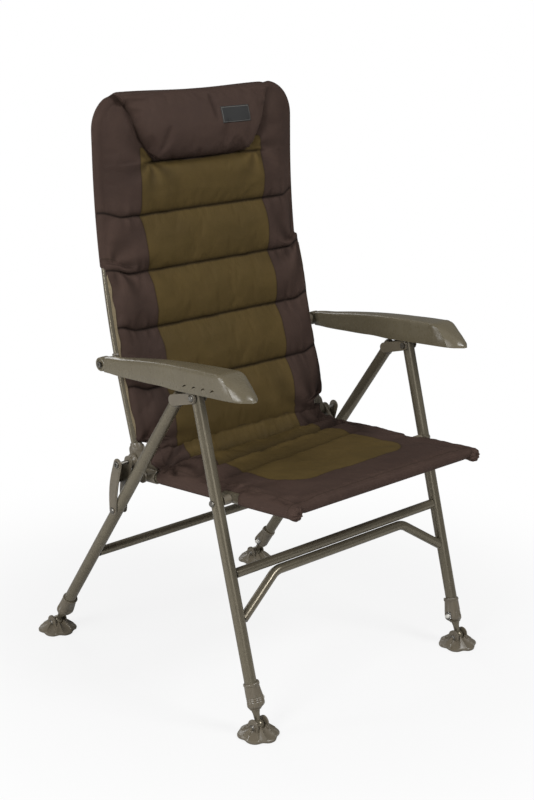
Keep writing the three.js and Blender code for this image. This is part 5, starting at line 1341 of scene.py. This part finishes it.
def inner_leg_piece(end, hand, way):
    x = way * LEG_X
    foot_at, top = LINES[end][2], LINES[end][3]
    length = 170.0
    start = top + COLLAR_LENGTH - length
    ball = foot_at - start
    profile = [(0.0, 0.0), (9.2, 0.0), (10.0, 0.8), (10.0, length - 4.0), (9.8, length - 2.0), (9.3, length),
               (8.2, length + 4.0), (6.9, length + 9.0), (6.1, ball - 15.0), (6.0, ball - 12.6)]
    for a in np.linspace(-62.0, 90.0, 20):
        profile.append((12.2 * math.cos(math.radians(a)), ball - 1.6 + 12.2 * math.sin(math.radians(a))))
    piece = turned(f"sliding_leg_{end}_{hand}", leg_point(end, start, x), leg_point(end, start + 1.0, x),
                   profile, 40)
    hard(piece, PAINT, f"{end}_inner_leg_{hand}", [f"{end}_inner_leg_{hand}"], degrees=40.0)


def collar_piece(end, hand, way):
    x = way * LEG_X
    _, down, _, top = LINES[end]
    axis = np.array((0.0, down[0], down[1]))
    out = np.array((-way, 0.0, 0.0))    # towards the middle of the chair
    flank = np.cross(axis, out)
    turn = np.linspace(0, 2 * math.pi, 120, endpoint=False)
    side_on, fore = np.cos(turn), np.sin(turn)
    house = np.clip(side_on, 0.0, 1.0) ** 0.8
    square = 1.0 / np.maximum(np.abs(side_on), np.abs(fore)) ** 0.55
    rings = []
    for s in sorted([0.0, 0.5, 1.2, 2.2, 4.6, 5.4, 6.2, 7.4] + list(np.arange(9.0, 45.5, 1.3))
                    + [27.9, 28.1, 45.9, 46.1, 48.0, 49.6, 51.0, 52.2, 53.2, 53.8, COLLAR_LENGTH]):
        radius = 14.3 + 0.9 * s / COLLAR_LENGTH + 1.1 * (1.0 - smooth(4.6, 6.2, s))
        radius -= 0.6 * (1.0 - smooth(0.0, 1.2, s)) + 4.0 * smooth(45.0, COLLAR_LENGTH, s) ** 1.6
        grow = (1.2 + 5.2 * smooth(0.0, 40.0, s)) * (1.0 - smooth(42.0, 53.0, s))
        reach = radius * (1.0 + (square - 1.0) * 0.45 * house) + grow * house
        for rib in (30.2, 34.0, 37.8):
            groove = math.exp(-((s - rib) / 1.0) ** 2)
            reach = reach - 1.2 * groove * (side_on < 0.62)
        window = (np.abs(fore * reach) < 8.0) & (side_on > 0.0) & (s > 28.0) & (s < 46.0)
        reach = np.where(window, reach - 7.0, reach)
        slant = 2.6 * np.clip(side_on, -0.2, 1.0) * (1.0 - smooth(0.0, 9.0, s))
        rings.append(leg_point(end, top, x) + axis * (s - slant)[:, None]
                     + out * (reach * side_on)[:, None] + flank * (reach * fore)[:, None])
    hard(loft(f"leg_collar_{end}_{hand}", rings), NYLON, end + "_legs", [f"{end}_collar_{hand}"], degrees=30.0)
    # bright coil in the window
    path = []
    for k in range(140):
        a = k / 139 * 2 * math.pi * 4.5
        base = leg_point(end, top + 29.6 + 15.0 * k / 139, x)
        path.append(base + out * (16.6 + 3.2 * math.cos(a)) + flank * 6.2 * math.sin(a))
    coil = swept(f"lock_coil_{end}_{hand}", path, 0.8, 10)
    hard(coil, BRIGHT, end + "_legs", (), degrees=60.0)
    button_at = leg_point(end, top + 36.5, x)
    button = turned(f"lock_pin_{end}_{hand}", button_at + out * 13.8, button_at + out * 14.8,
                    [(0.0, 0.0), (4.4, 0.0), (4.4, 11.2), (4.1, 12.0), (3.2, 12.7), (1.6, 13.1), (0.0, 13.2)], 36)
    node = f"{end}_lock_button_{hand}"
    hard(button, BUTTON, node, [node], degrees=40.0)


for end in ("front", "rear"):
    for hand, way in SIDES:
        foot_piece(end, hand, way)
        inner_leg_piece(end, hand, way)
        collar_piece(end, hand, way)


# Brackets that carry the rear legs on the top pivots

def bracket_piece(hand, way):
    x = way * LEG_X
    tube_top = leg_point("rear", 20.0, x)
    parts = []
    for side_way in (-1.0, 1.0):
        shape = belt(TOP_PIVOT, 11.0, (tube_top[1], tube_top[2]), 11.4, 24)
        parts.append(prism("ear", shape, x + side_way * 12.9, x + side_way * 15.4))
        parts.append(disc("boss", x + side_way * 15.2, TOP_PIVOT, side_way,
                          [(0.0, 0.0), (10.0, 0.0), (9.8, 1.6), (8.8, 2.2), (7.6, 2.2), (7.2, 0.9),
                           (0.0, 0.9)], 44))
    parts.append(turned("cap", leg_point("rear", 4.0, x), leg_point("rear", 36.0, x),
                        [(0.0, 1.0), (7.0, 1.2), (11.0, 2.6), (12.9, 5.4), (13.5, 9.0), (13.7, 26.6), (13.3, 28.2),
                         (12.6, 28.8), (12.5, 22.0)], 48))
    moulding("rear_bracket_" + hand, parts, "rear_legs", "rear_leg_bracket_" + hand, bevel=0.0004)


for hand, way in SIDES:
    bracket_piece(hand, way)


# Hinge knuckles, feet of the back tube, links and arm clamps

def knuckle_piece(hand, way):
    x = way * SEAT_X
    parts = [turned("socket", (x, 168.0, seat_z(168.0)), (x, 216.0, seat_z(216.0)),
                    [(11.4, 6.0), (11.4, 0.6), (12.4, 0.0), (13.8, 0.6), (14.6, 2.2), (14.6, 44.0), (13.4, 47.0),
                     (10.0, 48.5), (0.0, 48.5)], 48)]
    for side_way in (-1.0, 1.0):
        shape = belt(HINGE, 14.6, (200.0, seat_z(200.0)), 13.2, 26)
        parts.append(prism("ear", shape, x + side_way * 15.0, x + side_way * 19.6))
    base = belt((206.0, seat_z(206.0)), 13.4, (236.0, seat_z(236.0)), 9.0, 22)
    parts.append(prism("base", base, x - 15.2, x + 15.2))
    parts.append(disc("boss", x + way * 18.6, HINGE, way,
                      [(0.0, 0.0), (13.0, 0.0), (13.0, 1.2), (12.2, 2.4), (11.0, 3.0), (10.6, 6.2), (9.4, 8.0),
                       (4.2, 8.2), (4.2, 7.0)], 44))
    moulding("hinge_knuckle_" + hand, parts, "seat", "seat_knuckle_" + hand, bevel=0.0006)


def back_foot_piece(hand, way):
    x = way * SEAT_X
    (low, _), (high, _), (tongue, _) = back_line(12.0), back_line(36.0), back_line(20.0)
    parts = [turned("sleeve", (x, low[0], low[1]), (x, high[0], high[1]),
                    [(0.0, 0.0), (9.0, 0.2), (12.0, 1.8), (13.2, 4.6), (13.4, 8.0), (12.6, 20.6), (11.8, 22.6),
                     (10.9, 23.2), (10.1, 22.8), (10.1, 16.0)], 48)]
    parts.append(prism("tongue", belt(HINGE, 13.6, tongue, 11.6, 26), x - 12.4, x + 12.4))
    moulding("hoop_foot_" + hand, parts, "back", "back_tube_foot_" + hand, bevel=0.0008)


LINK_PIN = np.array((248.461, 354.706))


def link_piece(hand, way):
    x = way * LEG_X
    run = HINGE - LINK_PIN
    length = np.linalg.norm(run)
    run = run / length
    rear = np.array((run[1], -run[0]))

    def edge(t, side, swell, shrink):
        """A point beside the link's line, with side 1 on its rear and -1 on its front."""
        off = 10.8 + 1.6 * t + swell * math.sin(math.pi * t) - shrink
        return LINK_PIN + run * length * t + side * rear * off

    def round_end(centre, radius, first):
        return [centre + radius * (math.cos(math.radians(a)) * run + math.sin(math.radians(a)) * rear)
                for a in np.linspace(first, first - 180.0, 15)[1:-1]]

    def outline(shrink):
        return ([edge(t, 1.0, 6.5, shrink) for t in np.linspace(0.0, 1.0, 22)]
                + round_end(HINGE, 12.4 - shrink, 90.0)
                + [edge(t, -1.0, -3.0, shrink) for t in np.linspace(1.0, 0.0, 22)]
                + round_end(LINK_PIN, 10.8 - shrink, -90.0))

    parts = []
    for side_way in (-1.0, 1.0):
        parts.append(prism("plate", outline(0.0), x + side_way * 12.9, x + side_way * 15.2))
        parts.append(prism("rib", outline(3.4), x + side_way * 15.0, x + side_way * 15.9))
        parts.append(disc("eye", x + side_way * 15.0, HINGE, side_way,
                          [(0.0, 0.0), (10.4, 0.0), (10.2, 1.6), (9.4, 2.2), (7.2, 2.2), (6.8, 1.2),
                           (0.0, 1.2)], 40))
    web = [edge(t, 1.0, 6.5, 0.3) for t in np.linspace(0.5, 0.93, 16)]
    web += [p - rear * 2.4 for p in reversed(web)]
    parts.append(prism("web", web, x - 13.2, x + 13.2))
    moulding("side_link_" + hand, parts, "link_" + hand, "link_" + hand, bevel=0.0005)


def arm_clamp_piece(hand, way):
    x = way * SEAT_X
    low, high = back_line(197.0)[0], back_line(225.0)[0]
    parts = [turned("clamp", (x, low[0], low[1]), (x, high[0], high[1]),
                    [(10.1, 4.0), (10.1, 0.4), (11.4, 0.0), (12.6, 0.8), (13.0, 2.2), (13.0, 25.8), (12.6, 27.2),
                     (11.4, 28.0), (10.1, 27.6), (10.1, 24.0)], 48),
             disc("boss", x + way * 8.0, ARM_PIVOT, way,
                  [(0.0, 0.0), (12.4, 0.0), (12.4, 6.0), (11.6, 9.0), (11.4, 21.6), (10.6, 23.2), (4.0, 23.4)], 44)]
    moulding("arm_clamp_" + hand, parts, "back", "arm_bracket_" + hand, bevel=0.0005)


for hand, way in SIDES:
    knuckle_piece(hand, way)
    back_foot_piece(hand, way)
    link_piece(hand, way)
    arm_clamp_piece(hand, way)


# Tubes

def straight_tube(name, node, body, start, end, radius):
    """A tube with open ends and eased edges, 1.5 mm thick at its ends."""
    start, end = np.asarray(start, dtype=float), np.asarray(end, dtype=float)
    length, bore = np.linalg.norm(end - start), radius - 1.5
    profile = [(bore, 6.0), (bore, 0.4), (bore + 0.25, 0.0), (radius - 0.5, 0.0), (radius, 0.5),
               (radius, length - 0.5), (radius - 0.5, length), (bore, length), (bore, length - 6.0)]
    hard(turned(name, start, end, profile, 44), PAINT, body, [node], degrees=40.0)


for hand, way in SIDES:
    for end, first in (("front", -8.0), ("rear", 12.0)):
        straight_tube(f"{end}_post_{hand}", f"{end}_leg_tube_{hand}", end + "_legs",
                      leg_point(end, first, way * LEG_X),
                      leg_point(end, LINES[end][3] + 30.0, way * LEG_X), TUBE_RADIUS)

rail_end = LEG_X - 12.2
for end, at in (("front", 355.0), ("rear", 515.0)):
    straight_tube(end + "_rail", end + "_cross_tube", end + "_legs", leg_point(end, at, -rail_end),
                  leg_point(end, at, rail_end), RAIL_RADIUS)


def bent_path(corners, radius):
    """Points along straight runs whose corners are rounded."""
    corners = [np.asarray(c, dtype=float) for c in corners]
    out = [corners[0]]
    for before, corner, after in zip(corners, corners[1:], corners[2:]):
        a = (before - corner) / np.linalg.norm(before - corner)
        b = (after - corner) / np.linalg.norm(after - corner)
        turn = math.acos(float(np.clip(a.dot(b), -1.0, 1.0)))
        reach = radius / math.tan(turn / 2)
        start, end = corner + a * reach, corner + b * reach
        middle = corner + (a + b) / np.linalg.norm(a + b) * radius / math.sin(turn / 2)
        for k in range(13):
            p = start + (end - start) * k / 12
            out.append(middle + (p - middle) / np.linalg.norm(p - middle) * radius)
    out.append(corners[-1])
    fine = []
    for a, b in zip(out, out[1:]):
        count = max(1, int(np.linalg.norm(b - a) / 6.0))
        fine += [a + (b - a) * k / count for k in range(count)]
    return np.array(fine + [out[-1]])


brace_ends = leg_point("front", 447.0)
brace_run = leg_point("front", 376.5)
brace = bent_path([brace_ends + (-LEG_X + 11.5, 0, 0), brace_run + (-190.0, 0, 0),
                   brace_run + (190.0, 0, 0), brace_ends + (LEG_X - 11.5, 0, 0)], 45.0)
hard(swept("front_brace", brace, RAIL_RADIUS, 36), PAINT, "front_legs", ["front_brace_tube"], degrees=40.0)

# Half of the back's hoop as places across and up the back. Its top run sags as the cover's upper edge does
BEND, BEND_X = 62.0, 202.0
hoop = [(-SEAT_X, d) for d in np.linspace(7.0, CORNER_D, 70)]
hoop += [(-BEND_X - BEND * math.cos(math.radians(a)), CORNER_D + BEND * math.sin(math.radians(a)))
         for a in np.linspace(0.0, 90.0, 16)[1:]]
hoop += [(x, HOOP_TOP - 1.5 * (1.0 + math.cos(math.pi * x / BEND_X)))
         for x in np.linspace(-BEND_X, -8.0, 12)[1:]]
rail = [(x, *back_line(d)[0]) for x, d in hoop]
rail += [(-x, y, z) for x, y, z in reversed(rail)]
hard(swept("back_hoop", rail, RAIL_RADIUS, 36), PAINT, "back", ["back_frame_tube"], degrees=40.0)

# Camera, fitted to the straight lines in the photo, then lights and floor

AZIMUTH, ELEVATION, ROLL = map(math.radians, (-44.88, 18.11, 1.27))
back_way = Vector((math.sin(AZIMUTH) * math.cos(ELEVATION), -math.cos(AZIMUTH) * math.cos(ELEVATION),
                   math.sin(ELEVATION)))
level = Vector((math.cos(AZIMUTH), math.sin(AZIMUTH), 0.0))
upright = back_way.cross(level)
right_way = math.cos(ROLL) * level + math.sin(ROLL) * upright
up_way = -math.sin(ROLL) * level + math.cos(ROLL) * upright
camera = bpy.data.objects.new("camera", bpy.data.cameras.new("camera"))
SCENE.collection.objects.link(camera)
facing = Matrix((right_way, up_way, back_way)).transposed().to_4x4()
camera.matrix_world = Matrix.Translation((-2.2567, -2.3433, 1.5458)) @ facing
camera.data.lens = 71.56
camera.data.sensor_width = 36.0
camera.data.shift_x = -0.0255
camera.data.shift_y = 0.0428
SCENE.camera = camera

SCENE.view_settings.view_transform = "Standard"


def area_light(name, at, towards, size, watts):
    data = bpy.data.lights.new(name, "AREA")
    data.shape = "RECTANGLE"
    data.size, data.size_y = size
    data.energy = watts
    obj = bpy.data.objects.new(name, data)
    SCENE.collection.objects.link(obj)
    obj.location = at
    obj.rotation_euler = (Vector(towards) - Vector(at)).to_track_quat("-Z", "Y").to_euler()


area_light("key", (-3.1, -0.7, 2.5), (0.0, 0.0, 0.6), (1.1, 1.5), 85.0)
area_light("front_high", (1.0, -2.7, 3.2), (0.0, 0.0, 0.5), (1.2, 1.2), 92.0)
area_light("left_strip", (-3.0, 1.4, 1.3), (0.0, 0.0, 0.5), (0.35, 2.4), 34.0)
area_light("rear_fill", (0.6, 3.2, 2.2), (0.0, 0.2, 0.6), (1.6, 1.6), 26.0)
area_light("low_fill", (-1.7, -3.1, 0.9), (0.0, 0.0, 0.5), (1.6, 1.2), 9.0)

world = bpy.data.worlds.new("world")
SCENE.world = world
sky = Tree("world", world, "ShaderNodeOutputWorld")
sky.blended(sky.seen(), sky.lit("ShaderNodeBackground", 0.17), sky.lit("ShaderNodeBackground", 1.0))

floor_mesh = bpy.data.meshes.new("floor")
floor_mesh.from_pydata([(-14, -14, 0), (14, -14, 0), (14, 14, 0), (-14, 14, 0)], [], [(0, 1, 2, 3)])
floor = bpy.data.objects.new("floor", floor_mesh)
SCENE.collection.objects.link(floor)
ft = Tree("floor")
at = ft.coordinates("Object")
grey = ft.mix(ft.range(ft.noise(at, 1.4), 0.3, 0.7), (0.6, 0.6, 0.6, 1.0), (0.64, 0.64, 0.64, 1.0))
# the floor turns white away from the chair, where its shadow has ended
apart = ft.fed("ShaderNodeVectorMath", {0: at}, operation="LENGTH").outputs["Value"]
whiteness = ft.math("MULTIPLY", ft.seen(), ft.range(apart, 0.4, 1.2, 0.84, 1.0, True))
floor_mesh.materials.append(ft.blended(whiteness, ft.plain(grey, 0.9, Specular_IOR_Level=0.0),
                                       ft.lit("ShaderNodeEmission", 1.0)))
